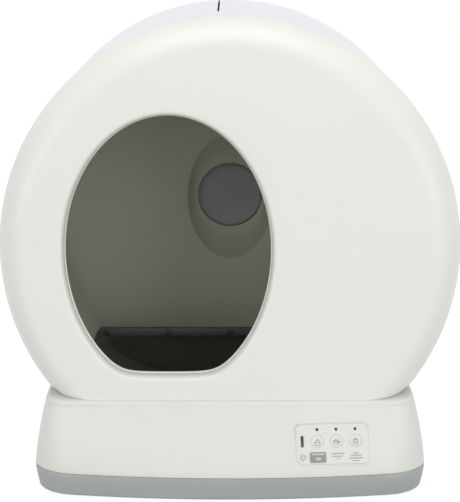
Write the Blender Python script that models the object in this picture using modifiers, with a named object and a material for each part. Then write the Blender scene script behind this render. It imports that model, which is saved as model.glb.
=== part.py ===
# Self cleaning litter box: a white housing with an off-centre egg-shaped entrance, on a base.
# Inside it a drum turns on rollers, driven by a pinion on its ring gear. A waste drawer under
# the drum pulls out to the rear. Metres; +X is the viewer's right, +Y the back, +Z up.
import math

import bmesh
import bpy
from mathutils import Matrix, Vector

# The two sizes that the rest follows
SHELL_RADIUS = 0.265
BASE_HALF_DEPTH = 0.260

# Housing
HOUSING_WALL = 0.003
SHELL_SETBACK = 0.0445
SHELL_RIM_DEPTH = 0.0605
SHELL_RIM_WIDTH = 0.034
SHELL_SKIRT = 0.025
SHELL_BACK_DRAFT = 0.0015
SHELL_DOME = 0.0015
HOOD_SETBACK = 0.004
HOOD_ROUNDING = 0.080
HOOD_SLIT_WIDTH = 0.0024
HOOD_SLIT_X = -0.014
HOOD_SLIT_START = 0.060
HOOD_SLIT_END = 0.006

# Egg-shaped entrance, as shares of the shell's radius from its axis, and its lip
EGG_X_SHARE = -0.26113
EGG_RISE_SHARE = 0.03019
EGG_HALF_WIDTH_SHARE = 0.43509
EGG_UPPER_SHARE = 0.57132
EGG_LOWER_SHARE = 0.59623
EGG_FLAT_SHARE = 0.53736
LIP_RADIUS = 0.0060
LIP_DEPTH = 0.0160

# Base
BASE_SIDE_SETBACK = 0.0408
BASE_CORNER = 0.043
DECK_CORNER = 0.028
FRONT_BOW_RADIUS = 1.05
DECK_BOW_SHARE = 0.13
DECK_DROP_SHARE = 0.61132
DECK_FRONT_INSET = 0.0390
DECK_SIDE_INSET = 0.0140
DECK_REAR_INSET = 0.003
DECK_ROUNDING = 0.0050
DECK_FRONT_ROUNDING = 0.0060
DECK_SIDE_ROUNDING = 0.0045
BASE_TAPER_POWER = 1.45
BAND_HEIGHT = 0.0274
WELL_SIDE_GAP = 0.0130
WELL_FRONT_GAP = 0.0115
WELL_REAR_GAP = 0.0075
WELL_CORNER = 0.012
WELL_FLANGE = 0.012
PAN_WALL = 0.0025
PAN_EDGE_ROUNDING = 0.005
PAN_DRAFT = 0.0035
PAN_BRIM = 0.005
FOOT_HEIGHT = 0.0027
FOOT_RADIUS = 0.013
FOOT_SIDE_INSET = 0.0442
FOOT_END_INSET = 0.065

# Drum
DRUM_CLEARANCE = 0.0425
DRUM_LIFT = 0.0465
DRUM_WALL = 0.004
DRUM_FRONT_SETBACK = 0.0305
DRUM_REAR_SETBACK = 0.061
BOWL_DEPTH = 0.135
BOWL_HOLE_RADIUS = 0.050
MOUTH_LIP = 0.0305
MOUTH_THICKNESS = 0.0035
RECESS_HALF_WIDTH = 0.063
RECESS_HALF_HEIGHT = 0.083
RECESS_DEPTH = 0.0265
RECESS_SETBACK = 0.0515
RECESS_WALL = 0.0025
BUSH_WALL = 0.005
BUSH_LENGTH = 0.011
BUSH_FLANGE = 0.0030
PORT_ANGLE = 96.0
PORT_WIDTH = 0.085
PORT_LENGTH = 0.110
PORT_OFFSET = 0.0075
RUNNING_GAP = 0.0004

# Litter bed
BAR_HEIGHT = 0.011
BAR_DEPTH = 0.007
BAR_DROP_SHARE = 0.62472
BAR_OFFSET = 0.0625
BAR_CORNER = 0.005
BAR_EDGE = 0.0009
BAR_SCREW_COUNT = 5
BAR_SCREW_INSET = 0.0075
BAR_SCREW_RADIUS = 0.0040
BAR_SCREW_HEAD = 0.0016
LINER_THICKNESS = 0.0015
LINER_RAMP_LENGTH = 0.075
LINER_FRONT_INSET = 0.004
SIEVE_DISTANCE_SHARE = 0.66517
SIEVE_ANGLE = 20.0
SIEVE_THICKNESS = 0.003
SIEVE_BORDER = 0.012
SIEVE_SLOT = 0.0110
SIEVE_RIB = 0.0060
SIEVE_END_INSET = 0.004

# Drive
RING_PITCH_INSET = 0.0305
RING_BORE_MODULES = 2.2
RING_TEETH = 80
PINION_TEETH = 10
PRESSURE_ANGLE = 25.0
ADDENDUM_SHARE = 0.8
DEDENDUM_SHARE = 1.0
BACKLASH = 0.0005
GEAR_WIDTH = 0.012
DRIVE_ANGLE = 210.0
SHAFT_RADIUS = 0.004
MOTOR_RADIUS = 0.021
MOTOR_LENGTH = 0.050
GEARBOX_LENGTH = 0.018
GEARBOX_RADIUS = 0.0235
MOTOR_PLATE = 0.003

# Rollers
ROLLER_RADIUS = 0.012
ROLLER_WIDTH = 0.016
ROLLER_ANGLE = 52.0
ROLLER_FRONT_GAP = 0.020
ROLLER_REAR_INSET = 0.025
ROLLER_PIN_RADIUS = 0.003
BRACKET_WALL = 0.004

# Sensor pod at the back of the drum
POD_RADIUS = 0.0445
POD_WALL = 0.003
LENS_RADIUS = 0.043
LENS_INSET = 0.005
LENS_DOME = 0.0040
LENS_EDGE = 0.0020

# Waste drawer
DRAWER_SIDE_INSET = 0.0642
DRAWER_FRONT_INSET = 0.080
DRAWER_REAR_INSET = 0.026
DRAWER_TOP_DROP = 0.019
DRAWER_WALL = 0.0025
DRAWER_CORNER = 0.016
DRAWER_SADDLE_GAP = 0.010
DRAWER_LIFT = 0.0004
PANEL_THICKNESS = 0.003
PANEL_OVERLAP = 0.006
PANEL_RISE = 0.0015
PANEL_CORNER = 0.010
GRIP_WIDTH = 0.100
GRIP_HEIGHT = 0.026
GRIP_RISE = 0.0081
GRIP_WALL = 0.0025

# Control panel, with places along and up its own face from its centre
CONTROL_SIDE_INSET = 0.1092
CONTROL_DROP = 0.00375
CONTROL_WIDTH = 0.083
CONTROL_HEIGHT = 0.046
CONTROL_CORNER = 0.008
CONTROL_RECESS = 0.0012
CONTROL_FACE = 0.0025
CONTROL_DEPTH = 0.0080
CONTROL_RIM = 0.002
BUTTON_PITCH = 0.0216
BUTTON_FIRST_ALONG = -0.0166
BUTTON_UP = 0.0026
BUTTON_RADIUS = 0.0071
BUTTON_PROUD = 0.0006
BUTTON_TRAVEL = 0.0010
BUTTON_FLANGE = 0.0014
BUTTON_FLANGE_THICKNESS = 0.0010
LED_UP = 0.0158
LED_RADIUS = 0.0015
WINDOW_ALONG = -0.0340
WINDOW_WIDTH = 0.0030
WINDOW_LENGTH = 0.0126
BOARD_THICKNESS = 0.0016
BOARD_BACK = 0.0004

# Power inlet in the left side wall
INLET_END_INSET = 0.110
INLET_Z = 0.060
INLET_RADIUS = 0.0062
INLET_FLANGE_RADIUS = 0.0085
INLET_FLANGE = 0.0012
INLET_LENGTH = 0.014
INLET_BORE = 0.0040
INLET_BORE_DEPTH = 0.010

# Shared clearances and counts
SEAT_GAP = 0.0003
DRUM_WAY_GAP = 0.007
CUT_OVERRUN = 0.020
MERGE = 0.00001
CORNER_SHARPNESS = 60
EGG_SHARPNESS = 28
OUTLINE_POINTS = 60
DRUM_STEPS = 48
POD_STEPS = 32
ROUND_STEPS = 20
SMALL_STEPS = 12
CORNER_STEPS = 3
SHARP_ANGLE = 35.0

# Places worked out from the sizes above, from the front to the back
SHELL_FACE_Y = SHELL_SETBACK - BASE_HALF_DEPTH
SHELL_WIDEST_Y = SHELL_FACE_Y + SHELL_RIM_DEPTH
SHELL_BACK_Y = SHELL_WIDEST_Y + SHELL_SKIRT
HOOD_REAR_Y = BASE_HALF_DEPTH - HOOD_SETBACK
HOOD_STRAIGHT_Y = HOOD_REAR_Y - HOOD_ROUNDING
HOOD_INNER_REAR_Y = HOOD_REAR_Y - HOUSING_WALL
DRUM_FRONT_Y = SHELL_FACE_Y + DRUM_FRONT_SETBACK
DRUM_JOINT_Y = HOOD_REAR_Y - DRUM_REAR_SETBACK - BOWL_DEPTH
DRUM_MIDDLE_Y = (DRUM_FRONT_Y + DRUM_JOINT_Y) / 2
PORT_CENTRE_Y = DRUM_MIDDLE_Y + PORT_OFFSET
BAR_Y = DRUM_MIDDLE_Y + BAR_OFFSET
RECESS_REAR_Y = HOOD_REAR_Y - RECESS_SETBACK
RECESS_FRONT_Y = RECESS_REAR_Y - RECESS_DEPTH
LENS_FRONT_Y = RECESS_REAR_Y - LENS_INSET
POD_FRONT_Y = LENS_FRONT_Y + LENS_DOME + LENS_EDGE + SEAT_GAP
DRAWER_FRONT_Y = DRAWER_FRONT_INSET - BASE_HALF_DEPTH
DRAWER_REAR_Y = BASE_HALF_DEPTH - DRAWER_REAR_INSET

# Radii and half widths
DRUM_RADIUS = SHELL_RADIUS - DRUM_CLEARANCE
DRUM_INNER = DRUM_RADIUS - DRUM_WALL
DRUM_SEAT_RADIUS = DRUM_INNER * math.cos(math.pi / DRUM_STEPS) - SEAT_GAP
MOUTH_RADIUS = DRUM_RADIUS - MOUTH_LIP
RING_PITCH_RADIUS = DRUM_RADIUS - RING_PITCH_INSET
GEAR_MODULE = 2 * RING_PITCH_RADIUS / RING_TEETH
PINION_PITCH_RADIUS = GEAR_MODULE * PINION_TEETH / 2
BASE_HALF_WIDTH = SHELL_RADIUS - BASE_SIDE_SETBACK
DRAWER_HALF_WIDTH = BASE_HALF_WIDTH - DRAWER_SIDE_INSET
PANEL_HALF_WIDTH = DRAWER_HALF_WIDTH + PANEL_OVERLAP
CONTROL_X = BASE_HALF_WIDTH - CONTROL_SIDE_INSET

# Heights
AXIS_HEIGHT = DRUM_RADIUS + DRUM_LIFT
DECK_DROP = SHELL_RADIUS * DECK_DROP_SHARE
DECK_HEIGHT = AXIS_HEIGHT - DECK_DROP
DECK_DEPTH = DECK_DROP - SEAT_GAP
PAN_BOTTOM = FOOT_HEIGHT + SEAT_GAP
PAN_FLOOR = PAN_BOTTOM + PAN_WALL
BASE_BOTTOM = BAND_HEIGHT + SEAT_GAP
DRAWER_SILL = PAN_FLOOR + DRAWER_LIFT
DRAWER_BOTTOM = DRAWER_SILL + DRAWER_LIFT
DRAWER_TOP_Z = DECK_HEIGHT - DRAWER_TOP_DROP
PANEL_TOP_Z = DRAWER_TOP_Z + PANEL_RISE
PANEL_MIDDLE_Z = (PANEL_TOP_Z + DRAWER_BOTTOM) / 2
BAR_Z = AXIS_HEIGHT - DRUM_RADIUS * BAR_DROP_SHARE
CONTROL_Z = (BASE_BOTTOM + DECK_HEIGHT) / 2 - CONTROL_DROP

# The well in the deck, from the drum's own width and depth at that height
WELL_HALF_WIDTH = math.sqrt(DRUM_RADIUS ** 2 - DECK_DROP ** 2) + WELL_SIDE_GAP
WELL_FRONT_Y = DRUM_FRONT_Y - WELL_FRONT_GAP
WELL_REAR_Y = (
    DRUM_JOINT_Y + BOWL_DEPTH * math.sqrt(1 - (DECK_DROP / DRUM_RADIUS) ** 2) + WELL_REAR_GAP)
ALONG_Y = Matrix.Rotation(math.radians(-90.0), 4, "X")

for old in list(bpy.data.objects):
    bpy.data.objects.remove(old, do_unlink=True)
parts = bpy.data.collections.new("self_cleaning_litter_box")
cutters = bpy.data.collections.new("cutters")
bpy.context.scene.collection.children.link(parts)
bpy.context.scene.collection.children.link(cutters)

COLOURS = {
    "white_plastic": ((0.79, 0.80, 0.76), 0.35, 0.0),
    "hood_plastic": ((0.80, 0.80, 0.84), 0.30, 0.0),
    "grey_plastic": ((0.31, 0.33, 0.33), 0.45, 0.0),
    "drum_plastic": ((0.13, 0.13, 0.11), 0.55, 0.0),
    "black_rubber": ((0.015, 0.015, 0.012), 0.70, 0.0),
    "gear_plastic": ((0.55, 0.55, 0.50), 0.50, 0.0),
    "steel": ((0.55, 0.56, 0.58), 0.30, 1.0),
    "dark_lens": ((0.07, 0.08, 0.09), 0.12, 0.0),
    "board_green": ((0.02, 0.12, 0.05), 0.50, 0.0),
    "black_plastic": ((0.01, 0.01, 0.01), 0.40, 0.0),
}


def finish(part, look):
    """Give one part its own Principled material in the named look, and smooth shading."""
    colour, roughness, metallic = COLOURS[look]
    material = bpy.data.materials.new(part.name + "_" + look)
    material.use_nodes = True
    shader = material.node_tree.nodes["Principled BSDF"]
    shader.inputs["Base Color"].default_value = (*colour, 1.0)
    shader.inputs["Roughness"].default_value = roughness
    shader.inputs["Metallic"].default_value = metallic
    part.data.materials.clear()
    part.data.materials.append(material)
    part.data.shade_smooth()
    part.data.set_sharp_from_angle(angle=math.radians(SHARP_ANGLE))
    return part


def add_mesh(name, bm, look=None, place=None):
    """Put a bmesh in an object: a part when it has a look, and otherwise a cutter."""
    mesh = bpy.data.meshes.new(name)
    bm.to_mesh(mesh)
    bm.free()
    made = bpy.data.objects.new(name, mesh)
    if place is not None:
        made.matrix_world = place
    if look is None:
        cutters.objects.link(made)
        made.hide_render = True
        made.display_type = "WIRE"
        return made
    parts.objects.link(made)
    return finish(made, look)


def cut(part, cutter, operation="DIFFERENCE"):
    """Cut one part with a cutter, or join a piece to it."""
    boolean = part.modifiers.new(cutter.name, "BOOLEAN")
    boolean.operation = operation
    boolean.solver = "EXACT"
    boolean.object = cutter


def thicken(part, thickness):
    """Give an open surface its wall, towards its inner side."""
    solid = part.modifiers.new("wall", "SOLIDIFY")
    solid.thickness = thickness
    solid.offset = -1.0
    solid.use_even_offset = True


def loft(name, rings, look=None, closed=True, cap_first=False):
    """Lay a surface through rings of equally many points."""
    bm = bmesh.new()
    rows = [[bm.verts.new(point) for point in ring] for ring in rings]
    for row, following in zip(rows, rows[1:]):
        count = len(row) if closed else len(row) - 1
        for i in range(count):
            j = (i + 1) % len(row)
            bm.faces.new((row[i], row[j], following[j], following[i]))
    if cap_first:
        bm.faces.new(list(reversed(rows[0])))
    return add_mesh(name, bm, look)


def turned(name, profile, look, place, steps=ROUND_STEPS, closed_section=True):
    """Spin a profile of (radius, height) points, outer side top to bottom, about local Z."""
    bm = bmesh.new()
    points = [bm.verts.new((radius, 0, height)) for radius, height in profile]
    for start, end in zip(points, points[1:]):
        bm.edges.new((start, end))
    if closed_section:
        bm.edges.new((points[-1], points[0]))
    part = add_mesh(name, bm, look, place)
    screw = part.modifiers.new("turn", "SCREW")
    screw.steps = steps
    screw.render_steps = steps
    screw.use_merge_vertices = True
    screw.merge_threshold = MERGE
    screw.use_smooth_shade = True
    return part


def rod(name, radius, length, look, place, steps=SMALL_STEPS):
    """A cylinder along local Z that starts at the place's origin."""
    bm = bmesh.new()
    bmesh.ops.create_cone(
        bm, cap_ends=True, segments=steps, radius1=radius, radius2=radius, depth=length,
        matrix=Matrix.Translation((0, 0, length / 2)))
    return add_mesh(name, bm, look, place)


def block(name, low, high, look=None, place=None):
    """A box between two corners."""
    low, high = Vector(low), Vector(high)
    size = high - low
    bm = bmesh.new()
    shape = Matrix.Translation((low + high) / 2) @ Matrix.Diagonal((*size, 1.0))
    bmesh.ops.create_cube(bm, size=1.0, matrix=shape)
    return add_mesh(name, bm, look, place)


def rounded_rectangle(half_width, half_height, corner, steps=CORNER_STEPS):
    """The outline of a rectangle with round corners, anticlockwise from the right side."""
    outline = []
    for quarter in range(4):
        sign_x = (1, -1, -1, 1)[quarter]
        sign_y = (1, 1, -1, -1)[quarter]
        for step in range(steps + 1):
            angle = math.radians(90.0) * (quarter + step / steps)
            outline.append((
                sign_x * (half_width - corner) + corner * math.cos(angle),
                sign_y * (half_height - corner) + corner * math.sin(angle)))
    return outline


def plate(name, outlines, thickness, look=None, place=None):
    """A flat piece cut to outlines in local XY, from local Z zero up; inner outlines are holes."""
    curve = bpy.data.curves.new(name + "_outline", "CURVE")
    curve.dimensions = "2D"
    curve.fill_mode = "BOTH"
    curve.extrude = thickness / 2
    for outline in outlines:
        spline = curve.splines.new("POLY")
        spline.points.add(len(outline) - 1)
        for point, (along, up) in zip(spline.points, outline):
            point.co = (along, up, 0, 1.0)
        spline.use_cyclic_u = True
    drawn = bpy.data.objects.new(name + "_outline", curve)
    parts.objects.link(drawn)
    solid = bpy.data.meshes.new_from_object(
        drawn.evaluated_get(bpy.context.evaluated_depsgraph_get()))
    bm = bmesh.new()
    bm.from_mesh(solid)
    bmesh.ops.remove_doubles(bm, verts=bm.verts, dist=MERGE)
    bmesh.ops.translate(bm, verts=bm.verts, vec=(0, 0, thickness / 2))
    bpy.data.objects.remove(drawn)
    bpy.data.meshes.remove(solid)
    return add_mesh(name, bm, look, place)


def soft_limit(depth, limit, sharpness):
    """Hold a depth to a limit with a rounded corner where the two meet."""
    return depth / (1 + (depth / limit) ** sharpness) ** (1 / sharpness)


def shell_ring(radius, y):
    """A circle about the drum axis with the housing's flat bottom, seen from the front."""
    ring = []
    for i in range(OUTLINE_POINTS):
        angle = 2 * math.pi * (i + 1 / 2) / OUTLINE_POINTS
        rise = radius * math.sin(angle)
        if rise < 0:
            rise = -soft_limit(-rise, DECK_DEPTH, CORNER_SHARPNESS)
        ring.append((radius * math.cos(angle), y, AXIS_HEIGHT + rise))
    return ring


def egg_ring(grow, y):
    """The entrance outline, grown outwards by an even margin."""
    widest_z = AXIS_HEIGHT + SHELL_RADIUS * EGG_RISE_SHARE
    ring = []
    for i in range(OUTLINE_POINTS):
        angle = 2 * math.pi * (i + 1 / 2) / OUTLINE_POINTS
        across = (SHELL_RADIUS * EGG_HALF_WIDTH_SHARE + grow) * math.cos(angle)
        if math.sin(angle) > 0:
            rise = (SHELL_RADIUS * EGG_UPPER_SHARE + grow) * math.sin(angle)
        else:
            drop = (SHELL_RADIUS * EGG_LOWER_SHARE + grow) * -math.sin(angle)
            rise = -soft_limit(drop, SHELL_RADIUS * EGG_FLAT_SHARE + grow, EGG_SHARPNESS)
        ring.append((SHELL_RADIUS * EGG_X_SHARE + across, y, widest_z + rise))
    return ring


def make_front_shell():
    """The front moulding: rounded rim, nearly flat face and a rolled lip round the entrance."""
    rings = [shell_ring(SHELL_RADIUS - SHELL_BACK_DRAFT, SHELL_BACK_Y)]
    for angle in (0, 22, 42, 60, 76):
        turn = math.radians(angle)
        radius = SHELL_RADIUS - SHELL_RIM_WIDTH * (1 - math.cos(turn))
        rings.append(shell_ring(radius, SHELL_WIDEST_Y - SHELL_RIM_DEPTH * math.sin(turn)))
    rings.append(shell_ring(SHELL_RADIUS - SHELL_RIM_WIDTH, SHELL_FACE_Y))
    for angle in (0, 45, 90):
        turn = math.radians(angle)
        grow = LIP_RADIUS * (1 - math.sin(turn))
        lip_y = SHELL_FACE_Y - SHELL_DOME + LIP_RADIUS * (1 - math.cos(turn))
        rings.append(egg_ring(grow, lip_y))
    rings.append(egg_ring(0, SHELL_FACE_Y + LIP_DEPTH))
    shell = loft("front_shell", rings, "white_plastic")
    thicken(shell, HOUSING_WALL)
    drum_way = rod(
        "drum_way_cutter", DRUM_RADIUS + DRUM_WAY_GAP,
        SHELL_BACK_Y - DRUM_FRONT_Y + LIP_DEPTH + CUT_OVERRUN, None,
        drum_axis_place(DRUM_FRONT_Y - MOUTH_THICKNESS - DRUM_WAY_GAP), DRUM_STEPS)
    cut(shell, drum_way)


def hood_radius(y):
    """The hood's outer radius at a distance back, straight and then rounded to its rear."""
    past = max(0.0, y - HOOD_STRAIGHT_Y)
    return SHELL_RADIUS - HOOD_ROUNDING + math.sqrt(max(0.0, HOOD_ROUNDING ** 2 - past ** 2))


def make_rear_hood():
    """The rear moulding: an open-bottomed barrel that rounds over to a flat back."""
    places = [
        HOOD_STRAIGHT_Y + HOOD_ROUNDING * math.sin(math.radians(a)) for a in (90, 66, 44, 22, 0)]
    places.append(SHELL_BACK_Y + SEAT_GAP)
    rings = []
    for y in places:
        radius = hood_radius(y)
        start = math.asin(DECK_DEPTH / radius)
        sweep = math.pi + 2 * start
        steps = OUTLINE_POINTS * 2 // 3
        rings.append([
            (radius * math.cos(sweep * i / steps - start), y,
             AXIS_HEIGHT + radius * math.sin(sweep * i / steps - start)) for i in range(steps + 1)])
    hood = loft("rear_hood", rings, "hood_plastic", closed=False, cap_first=True)
    thicken(hood, HOUSING_WALL)
    top = AXIS_HEIGHT + SHELL_RADIUS
    slit = block(
        "slit_cutter",
        (HOOD_SLIT_X - HOOD_SLIT_WIDTH / 2, SHELL_BACK_Y + HOOD_SLIT_START, top - CUT_OVERRUN),
        (HOOD_SLIT_X + HOOD_SLIT_WIDTH / 2, HOOD_STRAIGHT_Y - HOOD_SLIT_END, top + CUT_OVERRUN))
    cut(hood, slit)


def taper_share(z):
    """How much of the base's taper is reached at a height."""
    return max(0.0, (z - BASE_BOTTOM) / (DECK_HEIGHT - BASE_BOTTOM)) ** BASE_TAPER_POWER


def base_insets(z):
    """How far the base walls lean in at a height: at the front, the sides and the rear."""
    share = taper_share(z)
    return DECK_FRONT_INSET * share, DECK_SIDE_INSET * share, DECK_REAR_INSET * share


def base_ring(z, margin=0.0, insets=None):
    """The base's plan outline at a height: round corners and a bowed front."""
    front, side, rear = insets or base_insets(z)
    half_width = BASE_HALF_WIDTH - side - margin
    front_y = BASE_HALF_DEPTH - front - margin
    rear_y = BASE_HALF_DEPTH - rear - margin
    corner = BASE_CORNER + (DECK_CORNER - BASE_CORNER) * taper_share(z) - margin
    ring = []
    middle = (rear_y - front_y) / 2
    for across, along in dense_rectangle(half_width, (front_y + rear_y) / 2, corner):
        y = along + middle
        if y < 0:
            y += front_bow(across, z) * (-y / front_y)
        ring.append((across, y, z))
    return ring


def front_bow(across, z):
    """How far the bowed front falls back at a distance from the middle, less so at the deck."""
    return across ** 2 / (2 * FRONT_BOW_RADIUS) * (1 - (1 - DECK_BOW_SHARE) * taper_share(z))


def dense_rectangle(half_width, half_height, corner):
    """A round-cornered rectangle with extra points along its straight sides."""
    outline = rounded_rectangle(half_width, half_height, corner)
    dense = []
    per_corner = CORNER_STEPS + 1
    for i, point in enumerate(outline):
        dense.append(point)
        if i % per_corner == CORNER_STEPS:
            following = outline[(i + 1) % len(outline)]
            runs = 8 if (i // per_corner) % 2 == 0 else 4
            for step in range(1, runs):
                share = step / runs
                dense.append((
                    point[0] + (following[0] - point[0]) * share,
                    point[1] + (following[1] - point[1]) * share))
    return dense


def make_base_housing():
    """The white base: bowed, tapering walls, a deck and a flanged well for the drum."""
    shoulder = DECK_HEIGHT - DECK_ROUNDING
    heights = [BASE_BOTTOM + (shoulder - BASE_BOTTOM) * i / 3 for i in range(4)]
    rings = [base_ring(BASE_BOTTOM)]
    rings.append(base_ring(BASE_BOTTOM + HOUSING_WALL, 0.0, base_insets(BASE_BOTTOM)))
    rings += [base_ring(z) for z in heights[1:]]
    front, side, rear = base_insets(shoulder)
    for angle in (45, 90):
        turn = math.radians(angle)
        drawn = 1 - math.cos(turn)
        rings.append(base_ring(
            shoulder + DECK_ROUNDING * math.sin(turn), 0.0,
            (front + DECK_FRONT_ROUNDING * drawn, side + DECK_SIDE_ROUNDING * drawn,
             rear + DECK_SIDE_ROUNDING * drawn)))
    middle = (WELL_FRONT_Y + WELL_REAR_Y) / 2
    half = (WELL_REAR_Y - WELL_FRONT_Y) / 2
    well = dense_rectangle(WELL_HALF_WIDTH, half, WELL_CORNER)
    rings.append([(x, y + middle, DECK_HEIGHT) for x, y in well])
    rings.append([(x, y + middle, DECK_HEIGHT - WELL_FLANGE) for x, y in well])
    base = loft("base_housing", rings, "white_plastic")
    thicken(base, HOUSING_WALL)
    cut(base, rear_doorway("base_doorway_cutter"))
    place = control_place()
    window = rounded_rectangle(
        CONTROL_WIDTH / 2 + SEAT_GAP, CONTROL_HEIGHT / 2 + SEAT_GAP, CONTROL_CORNER)
    cut(base, plate("control_cutter", [window], CUT_OVERRUN * 2, None,
                    place @ Matrix.Translation((0, 0, -CUT_OVERRUN))))
    cut(base, rod("inlet_cutter", INLET_RADIUS + SEAT_GAP, CUT_OVERRUN * 2, None,
                  inlet_place() @ Matrix.Translation((0, 0, -CUT_OVERRUN))))


def rear_doorway(name):
    """The cutter for the drawer's way out through the rear walls."""
    return block(
        name,
        (-PANEL_HALF_WIDTH - RUNNING_GAP, WELL_REAR_Y + CUT_OVERRUN, DRAWER_SILL),
        (PANEL_HALF_WIDTH + RUNNING_GAP, BASE_HALF_DEPTH + CUT_OVERRUN, PANEL_TOP_Z + RUNNING_GAP))


def make_base_pan():
    """The grey tray under the base, its walls flaring a little from a rounded bottom edge."""
    rings = []
    for angle in (0, 45, 90):
        turn = math.radians(angle)
        rings.append(base_ring(
            PAN_BOTTOM + PAN_EDGE_ROUNDING * (1 - math.cos(turn)),
            PAN_DRAFT + PAN_EDGE_ROUNDING * (1 - math.sin(turn))))
    rings.append(base_ring(BAND_HEIGHT - PAN_BRIM))
    rings.append(base_ring(BAND_HEIGHT))
    pan = loft("base_pan", rings, "grey_plastic", cap_first=True)
    thicken(pan, PAN_WALL)
    cut(pan, rear_doorway("pan_doorway_cutter"))


def make_feet():
    """Four rubber feet under the pan."""
    x = BASE_HALF_WIDTH - FOOT_SIDE_INSET
    y = BASE_HALF_DEPTH - FOOT_END_INSET
    for name, side, end in (
            ("foot_front_left", -1, -1), ("foot_front_right", 1, -1),
            ("foot_rear_left", -1, 1), ("foot_rear_right", 1, 1)):
        rod(name, FOOT_RADIUS, FOOT_HEIGHT, "black_rubber", Matrix.Translation((x * side, y * end, 0)))


def drum_axis_place(y):
    """A place on the drum's axis, with local Z towards the back."""
    return Matrix.Translation((0, y, AXIS_HEIGHT)) @ ALONG_Y


def bowl_outer(y):
    """The bowl's outer radius at a distance back."""
    share = (y - DRUM_JOINT_Y) / BOWL_DEPTH
    return DRUM_RADIUS * math.sqrt(max(0.0, 1 - share ** 2))


def make_drum():
    """The drum's barrel with its waste port, its mouth ring and its rear bowl."""
    length = DRUM_JOINT_Y - DRUM_FRONT_Y
    barrel = turned(
        "drum_barrel",
        [(DRUM_RADIUS, length), (DRUM_RADIUS, 0), (DRUM_INNER, 0), (DRUM_INNER, length)],
        "drum_plastic", drum_axis_place(DRUM_FRONT_Y), DRUM_STEPS)
    port = block(
        "port_cutter",
        (DRUM_INNER - CUT_OVERRUN, PORT_CENTRE_Y - PORT_LENGTH / 2, -PORT_WIDTH / 2),
        (DRUM_RADIUS + CUT_OVERRUN, PORT_CENTRE_Y + PORT_LENGTH / 2, PORT_WIDTH / 2),
        None,
        Matrix.Translation((0, 0, AXIS_HEIGHT)) @ Matrix.Rotation(math.radians(-PORT_ANGLE), 4, "Y"))
    cut(barrel, port)
    turned(
        "drum_mouth_ring",
        [(DRUM_RADIUS, MOUTH_THICKNESS), (DRUM_RADIUS, 0),
         (MOUTH_RADIUS, 0), (MOUTH_RADIUS, MOUTH_THICKNESS)],
        "drum_plastic", drum_axis_place(DRUM_FRONT_Y - SEAT_GAP - MOUTH_THICKNESS), DRUM_STEPS)
    rim = math.acos(BOWL_HOLE_RADIUS / DRUM_RADIUS)
    steps = 5
    outer = [
        (DRUM_RADIUS * math.cos(rim * i / steps), BOWL_DEPTH * math.sin(rim * i / steps))
        for i in range(steps + 1)]
    inner = [
        ((DRUM_RADIUS - DRUM_WALL) * math.cos(rim * i / steps),
         (BOWL_DEPTH - DRUM_WALL) * math.sin(rim * i / steps))
        for i in range(steps + 1)]
    bowl = turned(
        "drum_bowl", list(reversed(outer)) + inner, "drum_plastic",
        drum_axis_place(DRUM_JOINT_Y + SEAT_GAP), DRUM_STEPS)
    oval = [
        ((RECESS_HALF_WIDTH + SEAT_GAP) * math.cos(2 * math.pi * i / POD_STEPS),
         (RECESS_HALF_HEIGHT + SEAT_GAP) * math.sin(2 * math.pi * i / POD_STEPS))
        for i in range(POD_STEPS)]
    cut(bowl, plate("recess_cutter", [oval], BOWL_DEPTH, None, drum_axis_place(DRUM_JOINT_Y + CUT_OVERRUN)))


def make_recess():
    """The oval cup at the back of the drum, round a bore for the sensor pod."""
    bore = POD_RADIUS + RUNNING_GAP + BUSH_WALL + SEAT_GAP
    table = (
        (0.0, 1.0, 1.0), (0.5, 0.945, 0.89), (1.0, 0.86, 0.70))
    rings = []
    for back_share, width_share, height_share in table:
        y = RECESS_FRONT_Y + (RECESS_REAR_Y - RECESS_FRONT_Y) * back_share
        rings.append([
            (RECESS_HALF_WIDTH * width_share * math.cos(2 * math.pi * i / POD_STEPS), y,
             AXIS_HEIGHT + RECESS_HALF_HEIGHT * height_share * math.sin(2 * math.pi * i / POD_STEPS))
            for i in range(POD_STEPS)])
    rings.append([
        (bore * math.cos(2 * math.pi * i / POD_STEPS), RECESS_REAR_Y,
         AXIS_HEIGHT + bore * math.sin(2 * math.pi * i / POD_STEPS)) for i in range(POD_STEPS)])
    cup = loft("drum_recess", [list(reversed(ring)) for ring in rings], "drum_plastic")
    thicken(cup, RECESS_WALL)
    inner = POD_RADIUS + RUNNING_GAP
    outer = inner + BUSH_WALL
    back = BUSH_LENGTH
    turned(
        "drum_bush",
        [(outer + BUSH_FLANGE, back), (outer + BUSH_FLANGE, RECESS_WALL + SEAT_GAP * 2),
         (outer, RECESS_WALL + SEAT_GAP * 2), (outer, 0), (inner, 0), (inner, back)],
        "black_plastic", drum_axis_place(RECESS_REAR_Y - SEAT_GAP), POD_STEPS)


def involute(angle):
    """The involute function of a pressure angle."""
    return math.tan(angle) - angle


def gear_outline(teeth, first_tooth, flank_steps):
    """A gear's outline in local XY, with one tooth centred on an angle in degrees."""
    pitch = GEAR_MODULE * teeth / 2
    pressure = math.radians(PRESSURE_ANGLE)
    base = pitch * math.cos(pressure)
    root = pitch - GEAR_MODULE * DEDENDUM_SHARE
    tip = pitch + GEAR_MODULE * ADDENDUM_SHARE
    half = math.pi / (2 * teeth) - BACKLASH / (2 * pitch)
    flank = []
    for step in range(flank_steps + 1):
        radius = root + (tip - root) * step / flank_steps
        at = math.acos(min(1.0, base / max(radius, base)))
        flank.append((radius, half + involute(pressure) - involute(at)))
    outline = []
    for tooth in range(teeth):
        centre = math.radians(first_tooth) + 2 * math.pi * tooth / teeth
        for radius, away in flank:
            outline.append((radius * math.cos(centre - away), radius * math.sin(centre - away)))
        for radius, away in reversed(flank):
            outline.append((radius * math.cos(centre + away), radius * math.sin(centre + away)))
    return outline


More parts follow.
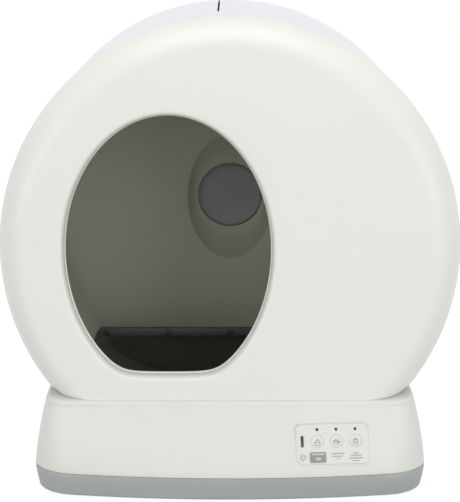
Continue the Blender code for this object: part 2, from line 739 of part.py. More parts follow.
def circle(radius, steps):
    """A circle's outline."""
    return [
        (radius * math.cos(2 * math.pi * i / steps), radius * math.sin(2 * math.pi * i / steps))
        for i in range(steps)]


def gear_front_y():
    """Where the ring gear sits: as far forward as its bore lets it on the bowl."""
    share = (RING_PITCH_RADIUS - GEAR_MODULE * RING_BORE_MODULES) / DRUM_RADIUS
    return DRUM_JOINT_Y + BOWL_DEPTH * math.sqrt(1 - share ** 2)


def drive_centre():
    """The pinion's place across the drum axis: X and height."""
    distance = RING_PITCH_RADIUS + PINION_PITCH_RADIUS
    angle = math.radians(DRIVE_ANGLE)
    return distance * math.cos(angle), AXIS_HEIGHT + distance * math.sin(angle)


def make_drive():
    """The ring gear on the bowl, and the pinion, shaft, motor and bracket that turn it."""
    front = gear_front_y()
    bore = bowl_outer(front) + SEAT_GAP
    plate(
        "drum_ring_gear", [gear_outline(RING_TEETH, -DRIVE_ANGLE, 1), circle(bore, DRUM_STEPS)],
        GEAR_WIDTH, "gear_plastic", drum_axis_place(front))
    x, z = drive_centre()
    place = Matrix.Translation((x, front, z)) @ ALONG_Y
    gap_angle = 180.0 / PINION_TEETH
    plate(
        "drive_pinion",
        [gear_outline(PINION_TEETH, 180.0 - DRIVE_ANGLE + gap_angle, 3),
         circle(SHAFT_RADIUS + SEAT_GAP, SMALL_STEPS)],
        GEAR_WIDTH, "gear_plastic", place)
    plate_front = GEAR_WIDTH + MOTOR_PLATE
    motor_front = plate_front + MOTOR_PLATE + SEAT_GAP
    shaft_length = motor_front + GEARBOX_LENGTH / 2
    rod("motor_shaft", SHAFT_RADIUS, shaft_length, "steel", place)
    turned(
        "gear_motor",
        [(0, MOTOR_LENGTH), (MOTOR_RADIUS, MOTOR_LENGTH), (MOTOR_RADIUS, GEARBOX_LENGTH),
         (GEARBOX_RADIUS, GEARBOX_LENGTH), (GEARBOX_RADIUS, 0), (SHAFT_RADIUS + RUNNING_GAP, 0),
         (SHAFT_RADIUS + RUNNING_GAP, GEARBOX_LENGTH * 2 / 3), (0, GEARBOX_LENGTH * 2 / 3)],
        "steel", place @ Matrix.Translation((0, 0, motor_front)), ROUND_STEPS, False)
    make_motor_bracket(x, front + plate_front, z)


def make_motor_bracket(x, y, z):
    """The upright plate that carries the motor on the deck."""
    foot = DECK_HEIGHT + SEAT_GAP
    outer_foot = math.sqrt((SHELL_RADIUS - HOUSING_WALL) ** 2 - DECK_DEPTH ** 2) - MOTOR_PLATE
    outline = [
        (-outer_foot, -foot), (x - MOTOR_RADIUS, -z - MOTOR_RADIUS),
        (x + MOTOR_RADIUS, -z - MOTOR_RADIUS), (x + MOTOR_RADIUS, -foot)]
    hole = [(x + a, -z + b) for a, b in circle(SHAFT_RADIUS + RUNNING_GAP, SMALL_STEPS)]
    plate("motor_bracket", [outline, hole], MOTOR_PLATE, "steel", Matrix.Translation((0, y, 0)) @ ALONG_Y)


def make_litter_bed():
    """The rubber liner that holds the litter, its clamp bar and the bar's screws."""
    radius = DRUM_SEAT_RADIUS - LINER_THICKNESS
    edge_z = BAR_Z - BAR_HEIGHT / 2 - SEAT_GAP
    edge_drop = AXIS_HEIGHT - edge_z
    half_chord = math.sqrt(radius ** 2 - edge_drop ** 2)
    spread = math.atan2(half_chord, edge_drop)
    steps = 20
    rings = []
    front = DRUM_FRONT_Y + LINER_FRONT_INSET
    ramp_start = BAR_Y - LINER_RAMP_LENGTH
    for step in range(-1, 7):
        if step < 0:
            y, raised = front, 0.0
        else:
            share = step / 6
            y = ramp_start + LINER_RAMP_LENGTH * share
            raised = (1 - math.cos(math.pi * share)) / 2
        ring = []
        for i in range(steps + 1):
            angle = spread * (2 * i / steps - 1)
            low = AXIS_HEIGHT - radius * math.cos(angle)
            ring.append((radius * math.sin(angle), y, low + (edge_z - low) * raised))
        rings.append(ring)
    liner = loft("litter_liner", rings, "black_rubber", closed=False)
    thicken(liner, LINER_THICKNESS)
    lowest = AXIS_HEIGHT - BAR_Z + BAR_HEIGHT / 2
    half_length = math.sqrt(DRUM_SEAT_RADIUS ** 2 - lowest ** 2)
    outline = rounded_rectangle(half_length, BAR_HEIGHT / 2, BAR_CORNER)
    bar = plate(
        "liner_clamp_bar", [outline], BAR_DEPTH, "drum_plastic",
        Matrix.Translation((0, BAR_Y - BAR_DEPTH / 2, BAR_Z)) @ ALONG_Y)
    edge = bar.modifiers.new("edge", "BEVEL")
    edge.width = BAR_EDGE
    edge.segments = 1
    edge.limit_method = "ANGLE"
    edge.angle_limit = math.radians(60.0)
    screw_pitch = 2 * (half_length - BAR_SCREW_INSET) / (BAR_SCREW_COUNT - 1)
    for i in range(BAR_SCREW_COUNT):
        x = screw_pitch * (i - (BAR_SCREW_COUNT - 1) / 2)
        head = [
            (0, 0), (BAR_SCREW_RADIUS, 0), (BAR_SCREW_RADIUS, -BAR_SCREW_HEAD / 2),
            (BAR_SCREW_RADIUS * 2 / 3, -BAR_SCREW_HEAD), (0, -BAR_SCREW_HEAD)]
        turned(
            f"bar_screw_{i + 1}", head, "steel",
            Matrix.Translation((x, BAR_Y - BAR_DEPTH / 2 - SEAT_GAP, BAR_Z)) @ ALONG_Y,
            SMALL_STEPS, False)


def make_sieve():
    """The slotted sieve across the drum's right side, which lifts clumps to the waste port."""
    distance = DRUM_RADIUS * SIEVE_DISTANCE_SHARE
    reach = distance + SIEVE_THICKNESS
    half_height = math.sqrt(DRUM_SEAT_RADIUS ** 2 - reach ** 2)
    front = DRUM_FRONT_Y + SIEVE_END_INSET
    rear = DRUM_JOINT_Y - SIEVE_END_INSET
    middle = (front + rear) / 2
    half_depth = (rear - front) / 2
    outlines = [rounded_rectangle(half_depth, half_height, SIEVE_BORDER / 2, 2)]
    pitch = SIEVE_SLOT + SIEVE_RIB
    count = int((2 * half_height - 2 * SIEVE_BORDER + SIEVE_RIB) / pitch)
    slot_half = half_depth - SIEVE_BORDER
    for i in range(count):
        centre = pitch * (i - (count - 1) / 2)
        slot = rounded_rectangle(slot_half, SIEVE_SLOT / 2, SIEVE_SLOT / 3, 1)
        outlines.append([(along, up + centre) for along, up in slot])
    upright = Matrix(((0, 0, 1, 0), (1, 0, 0, 0), (0, 1, 0, 0), (0, 0, 0, 1)))
    lean = Matrix.Rotation(math.radians(-SIEVE_ANGLE), 4, "Y")
    plate(
        "sieve_grid", outlines, SIEVE_THICKNESS, "drum_plastic",
        Matrix.Translation((0, middle, AXIS_HEIGHT)) @ lean
        @ Matrix.Translation((distance, 0, 0)) @ upright)


def make_sensor_pod():
    """The fixed pod on the hood's back wall, with its domed window facing into the drum."""
    length = HOOD_INNER_REAR_Y - SEAT_GAP - POD_FRONT_Y
    turned(
        "sensor_pod",
        [(0, length), (POD_RADIUS, length), (POD_RADIUS, 0),
         (POD_RADIUS - POD_WALL, 0), (POD_RADIUS - POD_WALL, length - POD_WALL), (0, length - POD_WALL)],
        "black_plastic", drum_axis_place(POD_FRONT_Y), POD_STEPS, False)
    thickness = LENS_DOME + LENS_EDGE
    dome = [(0, thickness), (LENS_RADIUS, thickness), (LENS_RADIUS, LENS_DOME)]
    for angle in (60, 30, 0):
        turn = math.radians(angle)
        dome.append((LENS_RADIUS * math.sin(turn), LENS_DOME * (1 - math.cos(turn))))
    turned("sensor_lens", dome, "dark_lens", drum_axis_place(LENS_FRONT_Y), POD_STEPS, False)


def make_rollers():
    """Four rollers under the drum, each on its pin in a forked bracket on the deck."""
    distance = DRUM_RADIUS + SEAT_GAP + ROLLER_RADIUS
    x = distance * math.sin(math.radians(ROLLER_ANGLE))
    z = AXIS_HEIGHT - distance * math.cos(math.radians(ROLLER_ANGLE))
    front_y = SHELL_BACK_Y + ROLLER_FRONT_GAP
    rear_y = DRUM_JOINT_Y - ROLLER_REAR_INSET
    for name, side, y in (
            ("front_left", -1, front_y), ("front_right", 1, front_y),
            ("rear_left", -1, rear_y), ("rear_right", 1, rear_y)):
        make_roller(name, Vector((side * x, y, z)), side)


def make_roller(name, centre, side):
    """One roller, its pin and its bracket."""
    half = ROLLER_WIDTH / 2
    groove = ROLLER_RADIUS / 8
    bore = ROLLER_PIN_RADIUS + SEAT_GAP
    turned(
        "roller_" + name,
        [(ROLLER_RADIUS - groove, half), (ROLLER_RADIUS, half - groove),
         (ROLLER_RADIUS, groove - half), (ROLLER_RADIUS - groove, -half), (bore, -half), (bore, half)],
        "black_rubber", Matrix.Translation(centre) @ ALONG_Y, ROUND_STEPS)
    outer = half + SEAT_GAP + BRACKET_WALL
    rod("roller_pin_" + name, ROLLER_PIN_RADIUS, (outer + SEAT_GAP) * 2, "steel",
        Matrix.Translation(centre - Vector((0, outer + SEAT_GAP, 0))) @ ALONG_Y)
    foot = DECK_HEIGHT + SEAT_GAP - centre.z
    inner_edge = ROLLER_RADIUS / 3 + BRACKET_WALL / 4
    outline = [
        (-inner_edge, -foot), (-inner_edge, -inner_edge), (0, -inner_edge - SEAT_GAP * 3),
        (ROLLER_RADIUS / 2, -inner_edge), (ROLLER_RADIUS, -foot)]
    if side < 0:
        outline = [(-along, up) for along, up in reversed(outline)]
    bracket = plate(
        "roller_bracket_" + name, [outline], outer * 2, "grey_plastic",
        Matrix.Translation(centre - Vector((0, outer, 0))) @ ALONG_Y)
    slot_bottom = foot + BRACKET_WALL
    slot = block(
        "fork_cutter_" + name,
        (-ROLLER_RADIUS - groove, -half - SEAT_GAP, max(slot_bottom, -ROLLER_RADIUS - RUNNING_GAP)),
        (ROLLER_RADIUS + groove, half + SEAT_GAP, ROLLER_RADIUS),
        None, Matrix.Translation(centre))
    cut(bracket, slot)
    cut(bracket, rod(
        "pin_cutter_" + name, ROLLER_PIN_RADIUS + SEAT_GAP, outer * 2 + CUT_OVERRUN * 2, None,
        Matrix.Translation(centre - Vector((0, outer + CUT_OVERRUN, 0))) @ ALONG_Y))


def make_waste_drawer():
    """The waste drawer: a tub with a saddle cut for the drum, and its rear panel and grip."""
    middle = (DRAWER_FRONT_Y + DRAWER_REAR_Y) / 2
    half_length = (DRAWER_REAR_Y - DRAWER_FRONT_Y) / 2
    rings = []
    edge = DRAWER_CORNER / 2
    for rise, margin in ((0, edge), (edge / 4, edge / 4), (edge, 0), (DRAWER_TOP_Z - DRAWER_BOTTOM, 0)):
        outline = rounded_rectangle(
            DRAWER_HALF_WIDTH - margin, half_length - margin, DRAWER_CORNER - margin)
        rings.append([(x, y + middle, DRAWER_BOTTOM + rise) for x, y in outline])
    drawer = loft("waste_drawer", rings, "grey_plastic", cap_first=True)
    thicken(drawer, DRAWER_WALL)
    saddle = rod(
        "saddle_cutter", DRUM_RADIUS + DRAWER_SADDLE_GAP, half_length * 2 + CUT_OVERRUN * 2, None,
        drum_axis_place(DRAWER_FRONT_Y - CUT_OVERRUN), DRUM_STEPS)
    cut(drawer, saddle)
    make_drawer_panel()


def make_drawer_panel():
    """The drawer's rear panel with a moulded finger cup."""
    face_y = BASE_HALF_DEPTH - DECK_REAR_INSET
    half_height = (PANEL_TOP_Z - DRAWER_BOTTOM) / 2
    grip_z = PANEL_MIDDLE_Z + GRIP_RISE
    front_y = face_y - PANEL_THICKNESS
    panel = plate(
        "drawer_panel", [rounded_rectangle(PANEL_HALF_WIDTH, half_height, PANEL_CORNER / 2)],
        PANEL_THICKNESS, "white_plastic", Matrix.Translation((0, front_y, PANEL_MIDDLE_Z)) @ ALONG_Y)
    depth = front_y - DRAWER_REAR_Y - SEAT_GAP
    cup = plate(
        "grip_cup_joiner",
        [rounded_rectangle(GRIP_WIDTH / 2 + GRIP_WALL, GRIP_HEIGHT / 2 + GRIP_WALL, PANEL_CORNER)],
        depth + PANEL_THICKNESS / 2, None,
        Matrix.Translation((0, front_y - depth, grip_z)) @ ALONG_Y)
    cut(panel, cup, "UNION")
    hollow = plate(
        "grip_hollow_cutter",
        [rounded_rectangle(GRIP_WIDTH / 2, GRIP_HEIGHT / 2, PANEL_CORNER - GRIP_WALL)],
        depth + CUT_OVERRUN, None,
        Matrix.Translation((0, front_y - depth + GRIP_WALL, grip_z)) @ ALONG_Y)
    cut(panel, hollow)


def wall_front(x, z):
    """A point on the base's front wall."""
    front = BASE_HALF_DEPTH - base_insets(z)[0]
    return Vector((x, front_bow(x, z) - front, z))


def control_place():
    """The control panel's own frame: X along it, Y up it and Z out of the front wall."""
    centre = wall_front(CONTROL_X, CONTROL_Z)
    along = wall_front(CONTROL_X + CONTROL_WIDTH / 2, CONTROL_Z)
    along -= wall_front(CONTROL_X - CONTROL_WIDTH / 2, CONTROL_Z)
    along.normalize()
    up = wall_front(CONTROL_X, CONTROL_Z + CONTROL_HEIGHT / 2)
    up -= wall_front(CONTROL_X, CONTROL_Z - CONTROL_HEIGHT / 2)
    out = along.cross(up).normalized()
    up = out.cross(along)
    frame = Matrix((along, up, out)).transposed().to_4x4()
    return Matrix.Translation(centre - out * CONTROL_RECESS) @ frame


def make_control_panel():
    """The control panel with its buttons, lights, window and circuit board."""
    place = control_place()
    button_places = [BUTTON_FIRST_ALONG + BUTTON_PITCH * i for i in range(3)]
    outlines = [rounded_rectangle(CONTROL_WIDTH / 2, CONTROL_HEIGHT / 2, CONTROL_CORNER)]
    for along in button_places:
        hole = circle(BUTTON_RADIUS + RUNNING_GAP, ROUND_STEPS)
        outlines.append([(x + along, y + BUTTON_UP) for x, y in hole])
        hole = circle(LED_RADIUS + SEAT_GAP, SMALL_STEPS)
        outlines.append([(x + along, y + LED_UP) for x, y in hole])
    slot = rounded_rectangle(
        WINDOW_WIDTH / 2 + SEAT_GAP, WINDOW_LENGTH / 2 + SEAT_GAP, WINDOW_WIDTH / 2)
    outlines.append([(x + WINDOW_ALONG, y + BUTTON_UP) for x, y in slot])
    panel = plate(
        "control_panel", outlines, CONTROL_DEPTH, "white_plastic",
        place @ Matrix.Translation((0, 0, -CONTROL_DEPTH)))
    pocket_corner = CONTROL_CORNER - CONTROL_RIM
    pocket = rounded_rectangle(
        CONTROL_WIDTH / 2 - CONTROL_RIM, CONTROL_HEIGHT / 2 - CONTROL_RIM, pocket_corner)
    cut(panel, plate(
        "pocket_cutter", [pocket], CONTROL_DEPTH - CONTROL_FACE + CUT_OVERRUN, None,
        place @ Matrix.Translation((0, 0, -CONTROL_DEPTH - CUT_OVERRUN))))
    board_front = BOARD_BACK + BOARD_THICKNESS - CONTROL_DEPTH
    board = rounded_rectangle(
        CONTROL_WIDTH / 2 - CONTROL_RIM - SEAT_GAP, CONTROL_HEIGHT / 2 - CONTROL_RIM - SEAT_GAP,
        pocket_corner - SEAT_GAP)
    plate("control_board", [board], BOARD_THICKNESS, "board_green",
          place @ Matrix.Translation((0, 0, BOARD_BACK - CONTROL_DEPTH)))
    stem_end = board_front + BUTTON_TRAVEL + SEAT_GAP
    flange_top = -CONTROL_FACE - SEAT_GAP
    cap_edge = BUTTON_PROUD / 2
    for name, along in zip(("clean", "fill", "empty"), button_places):
        turned(
            "button_" + name,
            [(0, BUTTON_PROUD), (BUTTON_RADIUS - cap_edge, BUTTON_PROUD),
             (BUTTON_RADIUS, BUTTON_PROUD - cap_edge), (BUTTON_RADIUS, flange_top),
             (BUTTON_RADIUS + BUTTON_FLANGE, flange_top),
             (BUTTON_RADIUS + BUTTON_FLANGE, flange_top - BUTTON_FLANGE_THICKNESS),
             (BUTTON_RADIUS / 3, flange_top - BUTTON_FLANGE_THICKNESS),
             (BUTTON_RADIUS / 3, stem_end), (0, stem_end)],
            "white_plastic", place @ Matrix.Translation((along, BUTTON_UP, 0)), ROUND_STEPS, False)
        rod("led_" + name, LED_RADIUS, -board_front - SEAT_GAP, "black_plastic",
            place @ Matrix.Translation((along, LED_UP, board_front + SEAT_GAP)))
    window = rounded_rectangle(WINDOW_WIDTH / 2, WINDOW_LENGTH / 2, WINDOW_WIDTH / 2 - SEAT_GAP)
    plate("indicator_window", [window], CONTROL_FACE, "black_plastic",
          place @ Matrix.Translation((WINDOW_ALONG, BUTTON_UP, -CONTROL_FACE)))


def inlet_place():
    """The power inlet's frame on the left side wall, with local Z out of the wall."""
    side = BASE_HALF_WIDTH - base_insets(INLET_Z)[1]
    above = base_insets(INLET_Z + INLET_FLANGE_RADIUS)[1]
    below = base_insets(INLET_Z - INLET_FLANGE_RADIUS)[1]
    lean = math.atan2(above - below, INLET_FLANGE_RADIUS * 2)
    turn = Matrix.Rotation(lean - math.radians(90.0), 4, "Y")
    return Matrix.Translation((-side, BASE_HALF_DEPTH - INLET_END_INSET, INLET_Z)) @ turn


def make_power_inlet():
    """The low-voltage inlet: a flanged barrel with a blind socket."""
    out = INLET_FLANGE + SEAT_GAP
    turned(
        "power_inlet",
        [(0, out - INLET_BORE_DEPTH), (INLET_BORE, out - INLET_BORE_DEPTH), (INLET_BORE, out),
         (INLET_FLANGE_RADIUS, out), (INLET_FLANGE_RADIUS, SEAT_GAP * 2),
         (INLET_RADIUS, SEAT_GAP * 2), (INLET_RADIUS, -INLET_LENGTH), (0, -INLET_LENGTH)],
        "black_plastic", inlet_place(), ROUND_STEPS, False)


make_base_pan()
make_feet()
make_base_housing()
make_front_shell()
make_rear_hood()
make_drum()
make_recess()
make_drive()
make_litter_bed()
make_sieve()
make_sensor_pod()
make_rollers()
make_waste_drawer()
make_control_panel()
make_power_inlet()
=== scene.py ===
from math import (
    acos, asin, atan2, cos, degrees, exp, hypot, log1p, pi, radians, sin, sqrt, tan, tau)

import bmesh
import bpy
from mathutils import Matrix, Vector


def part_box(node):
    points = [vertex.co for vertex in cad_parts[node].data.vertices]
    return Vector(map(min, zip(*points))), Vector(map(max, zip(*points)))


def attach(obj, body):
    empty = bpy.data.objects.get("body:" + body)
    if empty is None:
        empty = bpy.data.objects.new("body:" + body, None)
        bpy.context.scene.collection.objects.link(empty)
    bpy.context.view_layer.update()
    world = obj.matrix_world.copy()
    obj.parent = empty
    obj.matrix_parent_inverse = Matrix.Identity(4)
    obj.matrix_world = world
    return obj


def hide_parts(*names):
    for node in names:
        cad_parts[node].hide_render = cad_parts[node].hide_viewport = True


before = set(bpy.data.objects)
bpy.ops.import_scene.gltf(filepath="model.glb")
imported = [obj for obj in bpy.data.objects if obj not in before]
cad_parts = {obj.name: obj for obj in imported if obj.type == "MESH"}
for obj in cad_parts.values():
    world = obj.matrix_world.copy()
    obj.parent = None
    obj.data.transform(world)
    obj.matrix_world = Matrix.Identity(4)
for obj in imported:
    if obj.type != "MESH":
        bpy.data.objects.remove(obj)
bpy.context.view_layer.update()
scene = bpy.context.scene


# --- Tray ---
# The grey tray under the base: one injection moulding in matt grey ABS, with a rounded lower edge.
# It snaps into the base from below, so only its side wall shows as a band.
BASE_HALF_WIDTH = 0.2242
BASE_HALF_DEPTH = 0.260
BASE_CORNER = 0.043
BASE_BOW_RADIUS = 1.05
TRAY_BOTTOM = 0.0030
TRAY_SKIRT = 0.0006
TRAY_TOP = 0.0274
TRAY_BRIM = 0.0224
TRAY_WALL = 0.0025
TRAY_EDGE = 0.004
TRAY_DRAFT = 0.0035
TRAY_SOLE = 0.0030
TRAY_SKIRT_WIDTH = 0.0010
DOORWAY_HALF_WIDTH = 0.1664
DOORWAY_BOTTOM = 0.0052
DOORWAY_TOP = 0.0899
ALONG_Y = Matrix.Rotation(radians(-90.0), 4, "X")
WELD = 1e-6
CHAMFER = 0.0005
CLOUD_MM = 91.0


def linear(shade):
    """A colour written as sRGB hex, as Blender's linear RGBA."""
    parts = [int(shade[i:i + 2], 16) / 255 for i in (0, 2, 4)]
    return (*[p / 12.92 if p <= 0.04045 else ((p + 0.055) / 1.055) ** 2.4 for p in parts], 1.0)


def fill_inputs(material, node, inputs):
    """Give a node's inputs their values, or link other nodes' outputs to them."""
    for socket, value in inputs.items():
        if isinstance(value, bpy.types.NodeSocket):
            material.node_tree.links.new(value, node.inputs[socket])
        else:
            node.inputs[socket].default_value = value


def add_node(material, kind, inputs=None, output=0, **settings):
    """Add a node with its settings, fill its inputs, and give back one of its outputs."""
    made = material.node_tree.nodes.new("ShaderNode" + kind)
    for name, value in settings.items():
        setattr(made, name, value)
    fill_inputs(material, made, inputs or {})
    return made.outputs[output]


def finish_of(name, **sockets):
    """A new material, its shader with the values that hold all over, and its place socket."""
    material = bpy.data.materials.new(name)
    material.use_nodes = True
    shader = material.node_tree.nodes["Principled BSDF"]
    fill_inputs(material, shader, {
        socket.replace("_", " "): value for socket, value in sockets.items()})
    return material, shader, add_node(material, "TexCoord", output="Object")


def clouded_finish(
        name, shades, clouds, gloss, relief=None, depth=0.0, reach=0.0, tone_span=(0.0, 1.0),
        gloss_span=(0.0, 1.0), **sockets):
    """A finish: one noise clouds its two shades and its gloss, another gives its relief."""
    material, shader, place = finish_of(name, **sockets)
    cloud = add_node(material, "TexNoise", {"Vector": place, **clouds})
    share = add_node(material, "MapRange", {
        "Value": cloud, "From Min": tone_span[0], "From Max": tone_span[1]})
    tone = add_node(material, "Mix", {
        0: share, 6: linear(shades[0]), 7: linear(shades[1])}, 2, data_type="RGBA")
    rough = add_node(material, "MapRange", {
        "Value": cloud, "From Min": gloss_span[0], "From Max": gloss_span[1],
        "To Min": gloss[0], "To Max": gloss[1]})
    fill_inputs(material, shader, {"Base Color": tone, "Roughness": rough})
    if relief:
        fine = add_node(material, "TexNoise", {"Vector": place, **relief})
        bump = add_node(material, "Bump", {
            "Strength": depth, "Distance": reach, "Height": fine})
        fill_inputs(material, shader, {"Normal": bump})
    return material


def pattern(size_mm, detail=2.0, roughness=0.5, distortion=0.0):
    """A noise's inputs, with its scale worked out from a real size in millimetres."""
    return {"Scale": 1000.0 / size_mm, "Detail": detail, "Roughness": roughness,
            "Distortion": distortion}


def moulded_plastic(name, shade, clouded, roughness, grain_mm, grain_depth, ior=1.53):
    """Injection-moulded plastic: soft clouds in its colour and gloss, and an even eroded grain."""
    return clouded_finish(
        name, (shade, clouded), pattern(CLOUD_MM, 3.0, 0.6),
        (roughness - 0.035, roughness + 0.035), pattern(grain_mm), grain_depth, 0.0002,
        gloss_span=(0.3, 0.7), IOR=ior)


def quarter_turn(steps, first=0):
    """The angles of a quarter turn in even steps."""
    return [radians(90.0 * step / steps) for step in range(first, steps + 1)]


def shift(x, y, z):
    """A matrix that moves by a distance."""
    return Matrix.Translation((x, y, z))


def ring_edges(bm, ring):
    """The edges round a closed ring of points."""
    return [bm.edges.get((ring[i - 1], ring[i])) for i in range(len(ring))]


def pull_rings(outlines, loop=False, start=False, end=False, bm=None):
    """Pull a circle of points through the outlines, with a flat face at its start or end."""
    bm = bm or bmesh.new()
    first = ring = bmesh.ops.create_circle(bm, segments=len(outlines[0]), radius=1.0)["verts"]
    for vertex, point in zip(ring, outlines[0]):
        vertex.co = point
    for outline in outlines[1:] + (outlines[:1] if loop else []):
        pulled = set(bmesh.ops.extrude_edge_only(bm, edges=ring_edges(bm, ring))["geom"])
        ring = [
            next(e.other_vert(v) for e in v.link_edges if e.other_vert(v) in pulled) for v in ring]
        for vertex, point in zip(ring, outline):
            vertex.co = point
    for closed, corners in ((end, ring), (start, first)):
        if closed:
            bmesh.ops.contextual_create(bm, geom=ring_edges(bm, corners))
    return bm


def rounded_rectangle(half_width, half_height, corner, turns=8, runs=(1, 1)):
    """A round-cornered rectangle, anticlockwise from the right; runs split its sides."""
    outline = []
    for quarter, (side, top) in enumerate(((1, 1), (-1, 1), (-1, -1), (1, -1))):
        for turn in range(turns + 1):
            angle = radians(90.0) * (quarter + turn / turns)
            outline.append(Vector((
                side * (half_width - corner) + corner * cos(angle),
                top * (half_height - corner) + corner * sin(angle))))
    dense = []
    for i, point in enumerate(outline):
        dense.append(point)
        if i % (turns + 1) == turns:
            following = outline[(i + 1) % len(outline)]
            count = runs[(i // (turns + 1) + 1) % 2]
            dense += [point.lerp(following, run / count) for run in range(1, count)]
    return dense


def base_outline(z, margin=0.0, insets=(0.0, 0.0, 0.0), corner=BASE_CORNER, bow=1.0):
    """The base's plan at a height: round corners, a bowed front, walls drawn in by the insets."""
    front, side, rear = insets
    front_y = BASE_HALF_DEPTH - front - margin
    rear_y = BASE_HALF_DEPTH - rear - margin
    points = []
    for x, y in rounded_rectangle(
            BASE_HALF_WIDTH - side - margin, (front_y + rear_y) / 2, corner - margin, 12, (24, 40)):
        y += (rear_y - front_y) / 2
        if y < 0:
            y += bow * x ** 2 / (2 * BASE_BOW_RADIUS) * (-y / front_y)
        points.append((x, y, z))
    return points


def open_hole(bm, place, outline, low, high):
    """Cut a convex outline, drawn in a place's own XY, through the faces between two heights."""
    reach = max(Vector(point).length for point in outline)
    back = place.inverted()

    def near(face):
        size = max((v.co - face.calc_center_median()).length for v in face.verts)
        x, y, z = back @ face.calc_center_median()
        return hypot(x, y) < reach + size and low < z < high

    inside = [face for face in bm.faces if near(face)]
    for start, end in zip(outline, outline[1:] + outline[:1]):
        start, end = Vector(start), Vector(end)
        away = Vector((end.y - start.y, start.x - end.x, 0.0)).normalized()
        touched = {e for f in inside for e in f.edges} | {v for f in inside for v in f.verts}
        result = bmesh.ops.bisect_plane(
            bm, geom=inside + list(touched), dist=WELD / 10, plane_co=place @ start.to_3d(),
            plane_no=place.to_3x3() @ away)["geom"]
        inside = [
            face for face in result if isinstance(face, bmesh.types.BMFace)
            and (back @ face.calc_center_median() - start.to_3d()).dot(away) < 0]
    bmesh.ops.delete(bm, geom=inside, context="FACES")


def place_mesh(name, bm, material):
    """Put a finished bmesh in the scene as an object of its own."""
    mesh = bpy.data.meshes.new(name)
    bm.to_mesh(mesh)
    bm.free()
    mesh.shade_smooth()
    mesh.materials.append(material)
    made = bpy.data.objects.new(name, mesh)
    scene.collection.objects.link(made)
    return made


def add_piece(name, bm, material, body, slot, *nodes, wall=0.0, sharp=38.0):
    """Give a bmesh its wall on the inside, and let it ride on its body in place of CAD nodes."""
    bmesh.ops.remove_doubles(bm, verts=bm.verts, dist=WELD)
    bmesh.ops.recalc_face_normals(bm, faces=bm.faces)
    if wall:
        bmesh.ops.solidify(bm, geom=bm.faces[:], thickness=wall)
        bmesh.ops.remove_doubles(bm, verts=bm.verts, dist=WELD)
    piece = place_mesh(name, bm, material)
    piece.data.set_sharp_from_angle(angle=radians(sharp))
    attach(piece, body)
    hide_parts(*nodes)


# Matt grey ABS: even and soft, with a fine grain that takes the shine off it. The real grain of
# 0.1 mm is too fine to show, so this and every other moulded grain is drawn about 1 mm coarse.
grey_abs = moulded_plastic("moulded_grey_abs", "A9AEAD", "A2A7A6", 0.50, 1.1, 0.16)

rings = [base_outline(TRAY_BOTTOM, BASE_CORNER * share) for share in (0.9, 0.5)]
rings.append(base_outline(TRAY_BOTTOM, TRAY_DRAFT + TRAY_EDGE + TRAY_SOLE))
rings.append(base_outline(TRAY_SKIRT, TRAY_DRAFT + TRAY_EDGE + TRAY_SKIRT_WIDTH))
for turn in quarter_turn(6):
    rings.append(base_outline(
        TRAY_SKIRT + TRAY_EDGE * (1 - cos(turn)), TRAY_DRAFT + TRAY_EDGE * (1 - sin(turn))))
low = TRAY_SKIRT + TRAY_EDGE
for step in range(1, 6):
    share = step / 5
    rings.append(base_outline(low + (TRAY_BRIM - low) * share, TRAY_DRAFT * (1 - share) ** 1.2))
rings += [base_outline(TRAY_TOP - CHAMFER), base_outline(TRAY_TOP, 0.0004)]
bm = pull_rings(rings, start=True)
rear_wall = shift(0, BASE_HALF_DEPTH, (DOORWAY_BOTTOM + DOORWAY_TOP) / 2) @ ALONG_Y
doorway = rounded_rectangle(DOORWAY_HALF_WIDTH, (DOORWAY_TOP - DOORWAY_BOTTOM) / 2, CHAMFER, 1)
open_hole(bm, rear_wall, doorway, -0.006, 0.02)
add_piece("base_tray", bm, grey_abs, "housing", "grey_plastic", "base_pan", wall=TRAY_WALL)


# --- Feet ---
# Four round feet moulded in black rubber, pressed on under the tray's corners.
# A shallow ring in the sole keeps them from slipping.
FOOT_RADIUS = 0.013
FOOT_HEIGHT = 0.0027
CORNERS = ("front_left", "front_right", "rear_left", "rear_right")


def turn_profile(profile, place, steps=48):
    """A bmesh of a profile of (radius, height) points, spun about local Z and set in its place."""
    bm = bmesh.new()
    points = [bm.verts.new((radius, 0.0, height)) for radius, height in profile]
    edges = [bm.edges.new(pair) for pair in zip(points, points[1:])]
    bmesh.ops.spin(
        bm, geom=points + edges, cent=(0, 0, 0), axis=(0, 0, 1), angle=tau, steps=steps,
        use_merge=True)
    bmesh.ops.remove_doubles(bm, verts=bm.verts, dist=WELD)
    bmesh.ops.transform(bm, matrix=place, verts=bm.verts)
    return bm


# Black rubber: moulded, soft and matt, with a sheen at a low angle, a shade lighter where dust sits
# in its pores. They are drawn coarser than the real 0.2 mm, so that they show.
black_rubber = clouded_finish(
    "moulded_black_rubber", ("33332D", "40403A"), pattern(16.67, 5.0, 0.65), (0.62, 0.82),
    pattern(1.43), 0.25, 0.0002, tone_span=(0.4, 0.8), IOR=1.52, Specular_IOR_Level=0.35,
    Sheen_Weight=0.42, Sheen_Roughness=0.35, Sheen_Tint=linear("E6EBD2"))

for corner in CORNERS:
    name = "foot_" + corner
    low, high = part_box(name)
    foot = turn_profile([
        (0, FOOT_HEIGHT), (FOOT_RADIUS - 0.0006, FOOT_HEIGHT), (FOOT_RADIUS, FOOT_HEIGHT - 0.0006),
        (FOOT_RADIUS, 0.0006), (FOOT_RADIUS - 0.0006, 0), (0.0095, 0), (0.0090, 0.0007),
        (0.0070, 0.0007), (0.0065, 0), (0, 0)],
        shift((low.x + high.x) / 2, (low.y + high.y) / 2, 0))
    add_piece("rubber_" + name, foot, black_rubber, "housing", "black_rubber", name)


